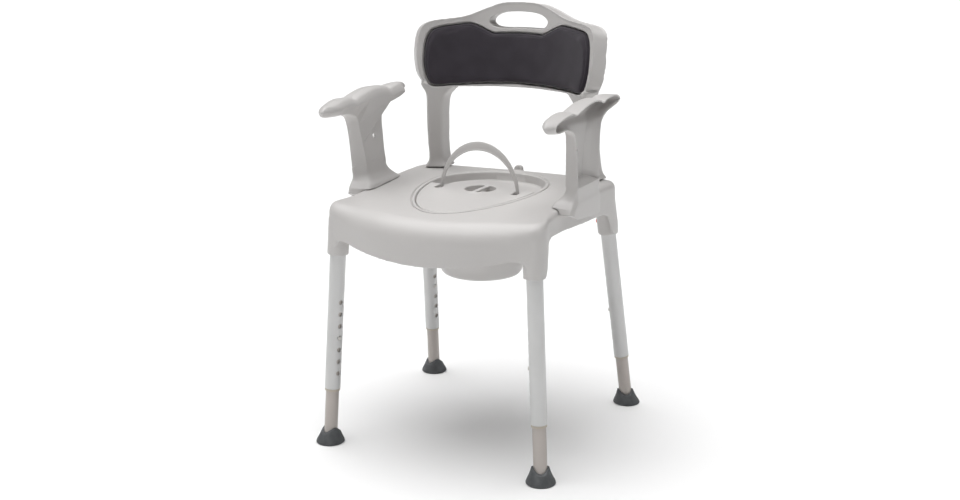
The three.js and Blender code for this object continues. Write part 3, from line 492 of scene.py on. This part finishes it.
# the raised leaf on the flare: turn from the dip, angular width, height, half height and rise
LEAF_TURN, LEAF_WIDTH, LEAF_AT, LEAF_TALL, LEAF_PROUD = 0.9, 0.42, 13, 8, 1.1
FOOT_SIDES, FOOT_FLOOR = 96, 13.5


def make_foot(key):
    """A flared rubber foot whose collar dips in front and behind and rises at the sides."""
    turn = np.arange(FOOT_SIDES) / FOOT_SIDES * 2 * np.pi
    dip = math.atan2(DIP_WAY[1], inward(key) * DIP_WAY[0])
    collar = COLLAR_HEIGHT - COLLAR_WAVE * np.cos(2 * (turn - dip))
    away = np.angle(np.exp(1j * (turn - dip - inward(key) * LEAF_TURN)))
    rows = []
    for radius, z in FOOT_SPREAD:
        height = np.minimum(z, collar - 2.4)
        leaf = np.exp(-((away / LEAF_WIDTH) ** 2 + ((height - LEAF_AT) / LEAF_TALL) ** 2))
        rows.append(ring_points(key, radius + LEAF_PROUD * leaf * (z > 0), height, turn))
    rows.append(ring_points(key, COLLAR_R + 0 * turn, collar - 1.2, turn))
    rows.append(ring_points(key, INNER_R + 1.4 + 0 * turn, collar, turn))
    rows.append(ring_points(key, INNER_R + GAP + 0 * turn, collar - 0.8, turn))
    rows.append(ring_points(key, INNER_R + GAP + 0 * turn, FOOT_FLOOR + 0 * turn, turn))
    obj = new_object(f"rubber_foot_skin_{key}", rows_mesh(rows))
    finished(obj, RUBBER, f"leg_{key}", f"rubber_foot_{key}")
    smooth_by_angle(obj, 50)


def ring_points(key, radius, height, turn):
    (x, y), (rx, ry) = LEGS[key]
    across = x + rx * height + radius * np.cos(turn)
    along = y + ry * height + radius * np.sin(turn)
    return np.stack([across, along, height], axis=1)


def smooth_by_angle(obj, degrees=35):
    """Smooth shading with hard edges past this angle."""
    obj.data.set_sharp_from_angle(angle=math.radians(degrees))
    return obj


# ---- seat ----------------------------------------------------------------------------------------
def seat_top(y):
    ahead = FALL_FROM - np.asarray(y, float)
    return SEAT_HEIGHT - SEAT_FALL * 0.5 * (ahead + np.hypot(ahead, 20))


def egg(shape, angle, grow=0, centre=EGG_Y):
    a, front, rear, taper = shape[:4]
    length = np.where(np.cos(angle) > 0, front, rear)
    x = (a + grow) * np.sin(angle) * (1 + taper * np.cos(angle))
    return np.stack([x, centre - (length + grow) * np.cos(angle)], axis=1)


SEAT_STEPS = 320
edge_loop = SEAT_EDGE + [[-row[0], *row[1:]] for row in SEAT_EDGE[-2:0:-1]]
edge_plan = spline([row[:2] for row in edge_loop], SEAT_STEPS)
edge_form = spline([row[2:] for row in edge_loop], SEAT_STEPS)
edge_roll, edge_low, edge_flare = edge_form.T
tangent = np.roll(edge_plan, -1, axis=0) - np.roll(edge_plan, 1, axis=0)
tangent /= np.linalg.norm(tangent, axis=1)[:, None]
edge_normal = np.stack([tangent[:, 1], -tangent[:, 0]], axis=1)
edge_angle = np.arctan2(edge_plan[:, 0] / OPENING[0], -(edge_plan[:, 1] - EGG_Y) / OPENING[1])
edge_top = seat_top(edge_plan[:, 1])


def with_height(plan, z):
    return np.column_stack([plan, np.broadcast_to(z, len(plan))])


def seat_wall(grow, roll, drop, steps):
    """Rows round the rolled edge and down the wall, at an inset, from the top to the lower edge."""
    rows = []
    for turn in np.linspace(0, math.pi / 2, steps):
        inset = roll * (1 - math.sin(turn))
        rows.append(with_height(edge_plan + edge_normal * (grow - inset)[:, None],
                                edge_top + drop - roll * (1 - math.cos(turn))))
    end = edge_top + drop - roll
    for share in (0.25, 0.5, 0.75, 1):
        z = end + (edge_low - end) * share
        flare = edge_flare * smoothstep(share, 0, 1)
        rows.append(with_height(edge_plan + edge_normal * (grow + flare)[:, None], z))
    return rows


def seat_block(grow):
    """The seat's outer form as a filled block."""
    rows = seat_wall(np.full(SEAT_STEPS, grow), edge_roll, grow, 10)
    inner = egg(OPENING, edge_angle, -10)
    return rows_mesh([with_height(inner, seat_top(inner[:, 1]) + grow), *rows])


def pocket(tongue, sign, grow, top=None):
    (x0, x1), (y0, y1), depth = tongue
    xs = sorted((sign * (x0 - grow), sign * (x1 + grow)))
    top = seat_top(y0) - 2 if top is None else top
    return box(xs, (y0 - grow, y1 + grow), (SEAT_HEIGHT - depth - 3, top))


def make_seat():
    inner = egg(OPENING, edge_angle, -10)
    flat = edge_plan - edge_normal * edge_roll[:, None]

    def on_top(grow, drop):
        plan = egg(OPENING, edge_angle, grow)
        share = np.linalg.norm(plan - inner, axis=1) / np.linalg.norm(flat - inner, axis=1)
        z = seat_top(inner[:, 1]) * (1 - share) + edge_top * share
        return with_height(plan, z - drop)

    rows = [on_top(-RIM_LEDGE, LIP_DEPTH), on_top(-RIM_LEDGE, RIM_DEPTH), on_top(0, RIM_DEPTH), on_top(0, 1.1),
            on_top(0.4, 0.35), on_top(1.3, 0)]
    rim = rows[-1]
    outer = seat_wall(np.zeros(SEAT_STEPS), edge_roll, 0, 14)
    rows += [rim * (1 - s) + outer[0] * s for s in (0.25, 0.5, 0.75)]
    rows += outer
    inside = seat_wall(np.full(SEAT_STEPS, -SEAT_WALL), edge_roll - SEAT_WALL, -SEAT_WALL, 8)
    rows += inside[::-1]
    rows += [on_top(SEAT_WALL, SEAT_WALL + 1), on_top(SEAT_WALL, LIP_DEPTH)]
    parts = [rows_mesh(rows, joined=True)]
    for key in LEGS:
        low, high = leg_point(key, SOCKET_BOTTOM[key]), leg_point(key, SOCKET_TOP)
        length = np.linalg.norm(high - low)
        parts.append(lathe([(0, SOCKET_R), (length, SOCKET_R)], low, leg_axis(key), 64))
    for tongue in (ARM_TONGUE, POST_TONGUE):
        parts += [pocket(tongue, sign, 3) for sign in (-1, 1)]
    lug_length = LUG_Y[1] - LUG_Y[0]
    lug = lathe([(0, LUG_R - 1.5), (1.5, LUG_R), (lug_length - 3, LUG_R), (lug_length, LUG_R - 3)],
                (0, LUG_Y[0], LUG_Z), (0, 1, 0), 40)
    parts.append((np.maximum(lug[0], (-99, 0, SEAT_HEIGHT - 3)), lug[1]))
    seat = remesh(new_object("seat_skin", *parts), 1.8, 5)
    cuts = []
    for key in LEGS:
        low, high = leg_point(key, 380), leg_point(key, TUBE_TOP + 2)
        length = np.linalg.norm(high - low)
        bore = TUBE_R + GAP
        cuts.append(lathe([(0, bore), (length, bore)], low, leg_axis(key), 48))
    for tongue in (ARM_TONGUE, POST_TONGUE):
        cuts += [pocket(tongue, sign, GAP, SEAT_HEIGHT + 40) for sign in (-1, 1)]
    boolean(seat, new_object("cutter", *cuts))
    hole = [(10, RELEASE_HOLE_R), (30, RELEASE_HOLE_R)]
    holes = [radial(key, RELEASE_HEIGHT, release_way(key), hole) for key in LEGS]
    boolean(seat, new_object("cutter", *holes))
    smooth_by_angle(finished(seat, SHELL, "seat", "seat_shell"), 50)


# ---- pan, bail and lid -----------------------------------------------------------------------------
RING_STEPS = 192
ring_turn = np.arange(RING_STEPS) / RING_STEPS * 2 * np.pi


def ring(shape, centre, height, grow=0):
    plan = egg(shape, ring_turn, grow, centre)
    return with_height(plan, height(plan[:, 1]))


def make_pan():
    flat = lambda z: (lambda y: np.full(len(y), float(z)))
    below = lambda drop: (lambda y: seat_top(y) - drop)
    ledge = lambda drop: (lambda y: seat_top(y) - LEDGE - TROUGH * smoothstep(y, *TROUGH_START) - drop)
    foot = lambda radius, z: ring((radius, radius, radius, 0), PAN_CENTRE_Y, flat(PAN_BOTTOM + z))
    rim = lambda inset, height: ring(OPENING, EGG_Y, height, -inset)
    mouth = lambda grow, height: ring(MOUTH, MOUTH[4], height, grow)
    waist = lambda grow: ring(WAIST, WAIST[4], flat(WAIST_Z), grow)
    bowl = smooth_rows([
        foot(PAN_FOOT_R - 2, PAN_WALL), foot(PAN_R - 9, 9), foot(PAN_R - PAN_WALL, 26), waist(0),
        mouth(0, below(MOUTH_DEPTH + LIP)),
    ], 30)
    lip = [
        mouth(0, below(MOUTH_DEPTH + 0.6)), mouth(0.6, below(MOUTH_DEPTH)),
        mouth(LIP - 0.6, below(MOUTH_DEPTH)), mouth(LIP, below(MOUTH_DEPTH + 0.5)),
    ]
    channel = [
        mouth(LIP + 0.4, ledge(-1)), mouth(LIP + 1.6, ledge(0)), rim(20, ledge(0)),
        rim(15, ledge(-0.3)), rim(12.2, ledge(-0.8)), rim(10.6, ledge(-2.5)),
    ]
    rolled = [
        (9.8, 3.4), (9.2, 1.5), (8.6, 0.7), (7.6, 0.2), (5.5, 0.1), (3.9, 0.2), (3.1, 0.6), (2.6, 1.5), (2.4, 3),
    ]
    bead = [rim(inset, below(drop)) for inset, drop in rolled]
    seated = below(RIM_DEPTH - GAP)
    outside = [rim(2.4, seated), rim(7.3, seated), rim(8, ledge(PAN_WALL))]
    base = smooth_rows([mouth(PAN_WALL, ledge(PAN_WALL)), waist(PAN_WALL), foot(PAN_R, 25), foot(PAN_R - 7, 6),
                        foot(PAN_FOOT_R, 0)], 30)
    parts = [rows_mesh([*bowl, *lip, *channel, *bead, *outside, *base])]
    for side in (-1, 1):
        pivot = np.array((0, BAIL_Y, seat_top(BAIL_Y) - PIVOT_DROP))
        profile = [(-118, 4), (-91, 4), (-90.5, 3.5), (-90.5, PIN_R), (-82.4, PIN_R), (-82, PIN_R - 0.4)]
        parts.append(lathe([(along, radius) for along, radius in profile], pivot, (-side, 0, 0), 32))
    smooth_by_angle(finished(new_object("pan_skin", *parts), SHELL, "pan", "pan"), 40)


def make_bail():
    """A crescent with a bead along its inner edge, and an eye at each end."""
    pivot = seat_top(BAIL_Y) - PIVOT_DROP
    rows = []
    for turn in np.linspace(0.02, math.pi - 0.02, 97):
        out = np.array((BAIL_R * math.cos(turn), BAIL_HIGH * math.sin(turn)))
        into = np.array(((BAIL_R - BAIL_END_WIDTH) * math.cos(turn),
                         (BAIL_HIGH - BAIL_TOP_WIDTH) * math.sin(turn)))
        width = np.linalg.norm(out - into)
        way = (out - into) / width
        half = [(0, -1.5), (0.5, -2.5), (1.8, -2.7), (2.8, -2.3), (3.4, -1.5), (width - 0.7, -1.5), (width, -0.9)]
        section = half + [(up, -across) for up, across in reversed(half)]
        places = [(into + way * up, across) for up, across in section]
        rows.append([(place[0], BAIL_Y + across, pivot + place[1]) for place, across in places])
    parts = [rows_mesh([np.array(row) for row in rows])]
    for side in (-1, 1):
        eye = [(-3, PIN_R + GAP), (-3, 5), (-2.5, 5.5), (2.5, 5.5), (3, 5), (3, PIN_R + GAP)]
        parts.append(lathe(eye, (side * (BAIL_R - 3), BAIL_Y, pivot), (1, 0, 0), 40, closed=True))
    smooth_by_angle(finished(new_object("bail_skin", *parts), SHELL, "bail", "pan_bail"), 50)


def make_lid():
    under = MOUTH_DEPTH - GAP
    layer = lambda share, inset, drop: ring(
        tuple(v * share - inset for v in OPENING[:3]) + (OPENING[3],), EGG_Y, lambda y: seat_top(y) - drop)
    edge = LID_INSET
    rows = [layer(0.05, 0, under)]
    rows += [layer(share, edge * share, under) for share in (0.4, 0.8, 0.97)]
    rounding = [(1.2, under - 1), (0, 4.4), (0, 1.7), (0.5, 0.9), (1.6, 0.6), (4, 0.55), (7, 0.8)]
    rows += [layer(1, edge + inset, drop) for inset, drop in rounding]
    for share in (0.9, 0.8, 0.65, 0.5, 0.3, 0.05):
        rows.append(layer(share, edge * share, 0.8 + LID_DISH * (1 - share / 0.93) ** 0.8))
    plate = new_object("lid_skin", rows_mesh(rows))
    top = float(seat_top(BAIL_Y))
    start = math.acos(LID_SLOT[0] / LID_REAR_HALF)
    turns = np.linspace(start, math.pi - start, 60)
    rear = [(LID_REAR_HALF * math.cos(t), BAIL_Y + LID_REAR * math.sin(t)) for t in turns]
    slot = [(130, LID_EAR_Y), (LID_SLOT[1], LID_EAR_Y), (LID_SLOT[1], LID_SLOT_Y), (LID_SLOT[0], LID_SLOT_Y)]
    outline = [(-130, -230), (130, -230), *slot, *rear, *[(-x, y) for x, y in reversed(slot)]]
    keep = rows_mesh([np.array([(x, y, top + dz) for x, y in outline]) for dz in (-40, 20)])
    boolean(plate, new_object("keep", keep), "INTERSECT")
    recess = lathe([(-30, GRIP_R), (30, GRIP_R)], (0, GRIP_Y, top), (0, 0, 1), 96)
    boolean(plate, new_object("cutter", recess))
    cup = [
        (-GRIP_DEPTH - 2.5, 0), (-GRIP_DEPTH - 2.5, GRIP_R + 1), (-GRIP_DEPTH - 1, GRIP_R + 2.5),
        (-3.5, GRIP_R + 2.5), (-2.6, GRIP_R), (-GRIP_DEPTH + 3, GRIP_R), (-GRIP_DEPTH + 0.8, GRIP_R - 1),
        (-GRIP_DEPTH, GRIP_R - 3), (-GRIP_DEPTH, 0),
    ]
    grip_bar = box((-5, 5), (GRIP_Y - GRIP_R - 2, GRIP_Y + GRIP_R + 2), (top - 8, top - 2.6))
    cup_object = new_object("cup", lathe(cup, (0, GRIP_Y, top), (0, 0, 1), 96), grip_bar)
    whole = joined_objects(plate, cup_object)
    remesh(whole, 1.2, 4)
    smooth_by_angle(finished(whole, SHELL, "lid", "pan_lid"), 60)


def joined_objects(first, *others):
    work = bmesh.new()
    for obj in (first, *others):
        work.from_mesh(obj.data)
    for obj in others:
        bpy.data.objects.remove(obj)
    work.to_mesh(first.data)
    work.free()
    return first


# ---- armrests ----------------------------------------------------------------------------------------
ARM_SAMPLES = 306


def index_weight(first, last, count):
    """1 on the outline's points first to last, falling to 0 by the next one."""
    weight = np.zeros(count + 1)
    weight[first:last + 1] = 1
    weight[-1] = weight[0]
    return np.interp(np.arange(ARM_SAMPLES) / ARM_SAMPLES * count, np.arange(count + 1), weight)


rim_line = spline(ARM_RIM, ARM_SAMPLES)
face_line = spline(ARM_FACE, ARM_SAMPLES)
crest_weight = index_weight(*ARM_CREST, len(ARM_RIM))
column_weight = index_weight(*ARM_COLUMN, len(ARM_RIM))


def arm_outline(share):
    wing, column, rise, nose, tail = arm_form(share)
    blend = wing + (column - wing) * column_weight
    line = face_line + (rim_line - face_line) * blend[:, None]
    line[:, 1] += rise * crest_weight
    line[:, 0] -= nose * smoothstep(-line[:, 0], *ARM_NOSE) + tail * smoothstep(line[:, 0], *ARM_TAIL)
    return line


def arm_form(share):
    """The arm's values at a share of the way across, on a smooth run through its stations."""
    stations = np.array(ARM_STATIONS, float)
    run = spline(stations, 200, closed=False)
    return [np.interp(share, run[:, 0], run[:, i]) for i in range(1, 6)]


def inset_line(line, wall):
    along = np.roll(line, -4, axis=0) - np.roll(line, 4, axis=0)
    along /= np.linalg.norm(along, axis=1)[:, None]
    return line + np.stack([along[:, 1], -along[:, 0]], axis=1) * wall


def arm_row(share, line):
    y, z = line.T
    low, high, arm = FACE_X
    face = low + (high - low) * smoothstep(z, *FACE_TURN[0])
    face += (arm - face) * smoothstep(z, *FACE_TURN[1])
    bow = RIM_BOW * np.maximum(0, 1 - ((y - BOW_MIDDLE) / BOW_HALF) ** 2)
    rim = RIM_X + bow * smoothstep(z, *RIM_TURN)
    return np.column_stack([face + (rim - face) * share, line])


def foot_rows(shrink, drop):
    """The flared foot from its top down to the skirt's lower edge."""
    rows = []
    stations = spline(ARM_FOOT, 30, closed=False)
    last = [SKIRT_HEIGHT, *SKIRT_PLAN]
    stations = np.vstack([stations, [stations[-1] * (1 - s) + np.array(last) * s for s in (0.3, 0.65, 1)]])
    for z, x0, a0, b0, x1, a1, b1 in stations:
        cut = 0.1 + 0.9 * smoothstep(FOOT_TOP - z, 5, 42)
        in_x, in_y = (shrink + corner * cut for corner in FOOT_CORNER)
        corners = [(x0 + shrink, a0 + shrink), (x1 - in_x, a1 + shrink), (x1 - shrink, a1 + in_y),
                   (x1 - shrink, b1 - in_y), (x1 - in_x, b1 - shrink), (x0 + shrink, b0 - shrink)]
        plan = rounded_polygon(corners, 12, 2)
        reach = np.clip((SKIRT_TOP - z) / (SKIRT_TOP - SKIRT_HEIGHT), 0, 1)
        skirt = SKIRT_HEIGHT + SKIRT_CURVE * (plan[:, 1] - SKIRT_MIDDLE) ** 2
        skirt = skirt + SKIRT_NOSE * smoothstep(-plan[:, 1], 80, 116)
        height = z + (skirt - SKIRT_HEIGHT) * reach
        slope = FLOOR_SLOPE * (plan[:, 0] - x0) / (x1 - x0) * smoothstep(z, 545, FOOT_TOP)
        rows.append(with_height(plan, height - slope - drop))
    return rows


def make_armrests():
    outer = [arm_row(share, arm_outline(share)) for share in (1 - np.cos(np.linspace(0, math.pi, 34))) / 2]
    edge = arm_outline(1)
    lip = [arm_row(1, inset_line(edge, 0.6)) + (0.5, 0, 0), arm_row(1, inset_line(edge, ARM_RIM_WALL))]
    hollow = []
    for share in np.linspace(0.97, ARM_HOLLOW_FROM, 16):
        wall = ARM_RIM_WALL + (ARM_DEEP_WALL - ARM_RIM_WALL) * (1 - smoothstep(share, ARM_HOLLOW_FROM, 0.5))
        hollow.append(arm_row(share, inset_line(arm_outline(share), wall)))
    shell = rows_mesh([*outer, *lip, *hollow])
    foot = new_object("arm_foot", rows_mesh(foot_rows(0, 0)))
    boolean(foot, new_object("foot_inside", rows_mesh(foot_rows(WALL, 18))))
    boolean(foot, new_object("seat_form", seat_block(1.3)))
    (x0, x1), (y0, y1), depth = ARM_TONGUE
    arm = new_object("armrest_skin_right", shell, box((x0, x1), (y0, y1), (SEAT_HEIGHT - depth, TONGUE_TOP)))
    remesh(joined_objects(arm, foot), 0.95, 2)
    screw = lathe([(0, SCREW_R), (60, SCREW_R)], (190, SCREW_Y, SCREW_Z), (1, 0, 0), 32)
    boolean(arm, new_object("cutter", screw))
    other = bpy.data.objects.new("armrest_skin_left", arm.data.copy())
    scene.collection.objects.link(other)
    other.data.transform(Matrix.Scale(-1, 4, (1, 0, 0)))
    other.data.flip_normals()
    for side, obj in (("right", arm), ("left", other)):
        smooth_by_angle(finished(obj, SHELL, f"armrest_{side}", f"armrest_{side}"), 60)


# ---- backrest ----------------------------------------------------------------------------------------
def back_point(across, height, depth):
    tilt = BACK_SPLAY * 2 * BACK_DISH * across
    long = np.hypot(tilt, 1)
    front = BACK_Y + BACK_LEAN * (height - BACK_Z) - BACK_DISH * across**2
    return np.stack(np.broadcast_arrays(across + depth * tilt / long, front + depth / long, height), axis=-1)


def back_slab(outline, front, back, grow=0, edges=None, fall=0.0, samples=90):
    """A slab between two depths inside a half outline and its mirror, rounded at its front and back edges."""
    half = spline(outline, samples, closed=False)
    full = np.vstack([half[:0:-1] * (-1, 1, 1), half])
    end = outline[-1][0]
    turns = np.linspace(0, math.pi / 2, 6) if edges else [0]
    front_edge, back_edge = edges or (0, 0)
    rows = []
    for u, low, high in full:
        across = u + np.sign(u) * grow
        low, high = low - grow, high + grow

        def corner(edge):
            """The radius left here, and how far the rounded end has fallen back."""
            near = np.clip(edge - (end - abs(u)), 0, edge)
            return min(edge, (high - low) / 2.2), edge - math.sqrt(edge**2 - near**2)

        (r, slack), (q, back_slack) = corner(front_edge), corner(back_edge)
        section = [(low + r * (1 - math.sin(a)), front + slack + r * (1 - math.cos(a))) for a in turns]
        section += [(high - r * (1 - math.cos(a)), front + slack + r * (1 - math.sin(a))) for a in turns]
        rear = back - back_slack
        section += [(high - fall - q * (1 - math.sin(a)), rear - q * (1 - math.cos(a))) for a in turns]
        section += [(low + q * (1 - math.cos(a)), rear - q * (1 - math.sin(a))) for a in turns]
        section = np.array(section)
        rows.append(back_point(across, section[:, 0], section[:, 1]))
    return rows_mesh(rows)


def post_rows():
    rows = []
    for z, u0, u1, grow in spline(POST_SECTIONS, 60, closed=False):
        sweep = POST_FOOT_Y * max(0.0, (POST_TOP - z) / POST_DROP) ** POST_SWEEP
        front = lambda u: back_point(u, z, 0)[1] + sweep
        outer = u1 + POST_FLARE
        corners = [(u0 - grow, front(u0) - grow), (u1 + grow, front(u1) - grow),
                   (outer + grow / 2, front(u1) + POST_DEPTH - 4 + grow),
                   (u0 - 2 - grow / 2, front(u0) + POST_DEPTH + grow / 3)]
        rows.append(with_height(rounded_polygon(corners, 14, 2), z))
    return rows


def make_backrest():
    slab = back_slab(BACK_OUTLINE, 0, BACK_DEPTH, edges=(2.5, 3.5), fall=4)
    parts = [slab]
    (x0, x1), (y0, y1), depth = POST_TONGUE
    for side in (1, -1):
        for part in (rows_mesh(post_rows()), box((x0, x1), (y0, y1), (SEAT_HEIGHT - depth, SEAT_HEIGHT + 8))):
            parts.append(part if side > 0 else mirror(part))
    back = remesh(new_object("backrest_skin", *parts), 1.8, 4)
    boolean(back, new_object("cutter", back_slab(PAD_OUTLINE, -30, PAD_DEPTH + GAP, grow=0.8)))
    boolean(back, new_object("cutter", back_slab(PAD_OUTLINE, PAD_DEPTH + WALL, BACK_DEPTH + 30)))
    hole = spline(HAND_HOLE, 72)
    ends = [np.column_stack([hole[:, 0], np.full(72, y), hole[:, 1]]) for y in (110, 330)]
    boolean(back, new_object("cutter", rows_mesh(ends)))
    remesh(back, 1.05, 3)
    smooth_by_angle(finished(back, SHELL, "backrest", "backrest_frame"), 60)


PAD_INSET, PAD_EDGE, PAD_BACK = 2.2, 5, PAD_DEPTH - 1.5
PUFF_PRESSURE, PUFF_CAP, PUFF_FRAMES = 4, 1.8, 20
SEAM_AT, SEAM_WIDTH, SEAM_DEPTH = 5.2, 0.9, 0.9


def border_distance(points, outline):
    """How far each point in the pad's plane is from its outline."""
    ends = np.roll(outline, -1, axis=0)
    best = np.full(len(points), 1e9)
    for a, b in zip(outline, ends):
        way = b - a
        share = np.clip((points - a) @ way / max(way @ way, 1e-9), 0, 1)
        best = np.minimum(best, np.linalg.norm(points - a - share[:, None] * way, axis=1))
    return best


def make_pad():
    """A thin foam pad under stretched cloth: a crowned form that a cloth simulation puffs a little."""
    half = spline(PAD_OUTLINE, 75, closed=False)
    full = np.vstack([half[:0:-1] * (-1, 1, 1), half])
    columns, rows = len(full), 34
    share = (1 - np.cos(np.linspace(0, math.pi, rows))) / 2
    u = np.repeat(full[:, 0] - np.sign(full[:, 0]) * PAD_INSET * np.abs(full[:, 0]) / PAD_OUTLINE[-1][0], rows)
    low, high = full[:, 1:2] + PAD_INSET, full[:, 2:3] - PAD_INSET
    z = (low + (high - low) * share).ravel()
    grid = np.arange(columns * rows).reshape(columns, rows)
    rim = np.concatenate([grid[:, 0], grid[-1, 1:], grid[-2::-1, -1], grid[0, -2:0:-1]])
    flat = np.column_stack([u, z])
    outline = flat[rim]
    deep = np.clip(1 - border_distance(flat, outline) / PAD_EDGE, 0, 1)
    front = -PAD_PROUD + 1.4 * np.exp(-border_distance(flat, outline) / 16) + 5 * (1 - np.sqrt(1 - deep**2))
    front_points = back_point(u, z, front)
    back_points = back_point(u, z, np.full(len(u), PAD_BACK))
    a, b, c, d = grid[:-1, :-1].ravel(), grid[1:, :-1].ravel(), grid[1:, 1:].ravel(), grid[:-1, 1:].ravel()
    count = columns * rows
    faces = list(zip(a, b, c, d)) + list(zip(d + count, c + count, b + count, a + count))
    faces += [(i, i + count, j + count, j) for i, j in zip(rim, np.roll(rim, -1))]
    pad = new_object("pad_skin", (np.vstack([front_points, back_points]), faces))
    puff(pad, PUFF_PRESSURE, PUFF_CAP, count)
    modifier = pad.modifiers.new("fine", "SUBSURF")
    modifier.levels = modifier.render_levels = 2
    bake(pad)
    sew(pad, outline)
    finished(pad, PAD, "backrest", "backrest_pad")


def sew(obj, outline):
    """Presses a seam into the front, a little inside the pad's edge."""
    points = np.array([v.co for v in obj.data.vertices]) / MM
    distance = border_distance(points[:, [0, 2]], outline)
    line = BACK_Y + BACK_LEAN * (points[:, 2] - BACK_Z) - BACK_DISH * points[:, 0] ** 2
    on_front = points[:, 1] < line + 2
    push = SEAM_DEPTH * np.exp(-(((distance - SEAM_AT) / SEAM_WIDTH) ** 2)) * on_front
    for vertex, amount in zip(obj.data.vertices, push):
        vertex.co.y += amount * MM


def puff(obj, pressure, cap, movable):
    """Blows the piece up as cloth; only its first points move, and by no more than the cap in millimetres."""
    rest = np.array([v.co for v in obj.data.vertices])
    modifier = obj.modifiers.new("cloth", "CLOTH")
    settings = modifier.settings
    settings.use_pressure = True
    settings.uniform_pressure_force = pressure
    settings.effector_weights.gravity = 0
    settings.quality = 6
    for number in range(1, PUFF_FRAMES + 1):
        scene.frame_set(number)
    graph = bpy.context.evaluated_depsgraph_get()
    moved = np.array([v.co for v in obj.evaluated_get(graph).data.vertices])
    obj.modifiers.clear()
    shift = moved - rest
    shift[movable:] = 0
    length = np.linalg.norm(shift, axis=1)[:, None]
    shift *= np.minimum(1, cap * MM / np.maximum(length, 1e-9))
    for vertex, place in zip(obj.data.vertices, rest + shift):
        vertex.co = place
    scene.frame_set(1)


# ---- assembly ------------------------------------------------------------------------------------------
for leg in LEGS:
    make_leg(leg)
    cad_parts[f"snap_spring_{leg}"].data.materials[0] = STEEL
make_seat()
make_pan()
make_bail()
make_lid()
make_armrests()
make_backrest()
make_pad()

# ---- floor and light -------------------------------------------------------------------------------------
FLOOR_SIZE = 80     # metres, so that its far edge is out of sight
bpy.ops.mesh.primitive_plane_add(size=FLOOR_SIZE)
floor = bpy.context.object
floor.name = "floor"
WHITE = material("floor_white", (0.9, 0.9, 0.9), 0.9, mottle=2, spread=0.003, bump=0, specular=0)
floor.data.materials.append(WHITE)
scene.view_settings.view_transform = "Standard"


def sky(horizon, zenith):
    """A plain studio sky that is brighter overhead."""
    world = bpy.data.worlds.new("studio")
    scene.world = world
    world.use_nodes = True
    nodes, links = world.node_tree.nodes, world.node_tree.links
    split = nodes.new("ShaderNodeSeparateXYZ")
    links.new(nodes.new("ShaderNodeTexCoord").outputs["Generated"], split.inputs["Vector"])
    span = nodes.new("ShaderNodeMapRange")
    span.interpolation_type = "SMOOTHSTEP"
    span.inputs["From Min"].default_value = 0.1
    span.inputs["To Min"].default_value = horizon
    span.inputs["To Max"].default_value = zenith
    links.new(split.outputs["Z"], span.inputs["Value"])
    links.new(span.outputs["Result"], nodes["Background"].inputs["Strength"])


def sun(name, direction, strength, spread):
    data = bpy.data.lights.new(name, "SUN")
    data.energy = strength
    data.angle = math.radians(spread)
    light = bpy.data.objects.new(name, data)
    scene.collection.objects.link(light)
    light.rotation_euler = Vector(direction).to_track_quat("-Z", "Y").to_euler()


def area_light(name, place, target, size, power):
    data = bpy.data.lights.new(name, "AREA")
    data.size = size
    data.energy = power
    light = bpy.data.objects.new(name, data)
    scene.collection.objects.link(light)
    light.location = place
    light.rotation_euler = (Vector(target) - Vector(place)).to_track_quat("-Z", "Y").to_euler()


sky(0.31, 2.8)
sun("overhead", (0.11, 0.06, -1), 3.65, 70)
area_light("left_back", (-2.6, 0.6, 2.2), (0, 0, 0.5), 1.8, 5)
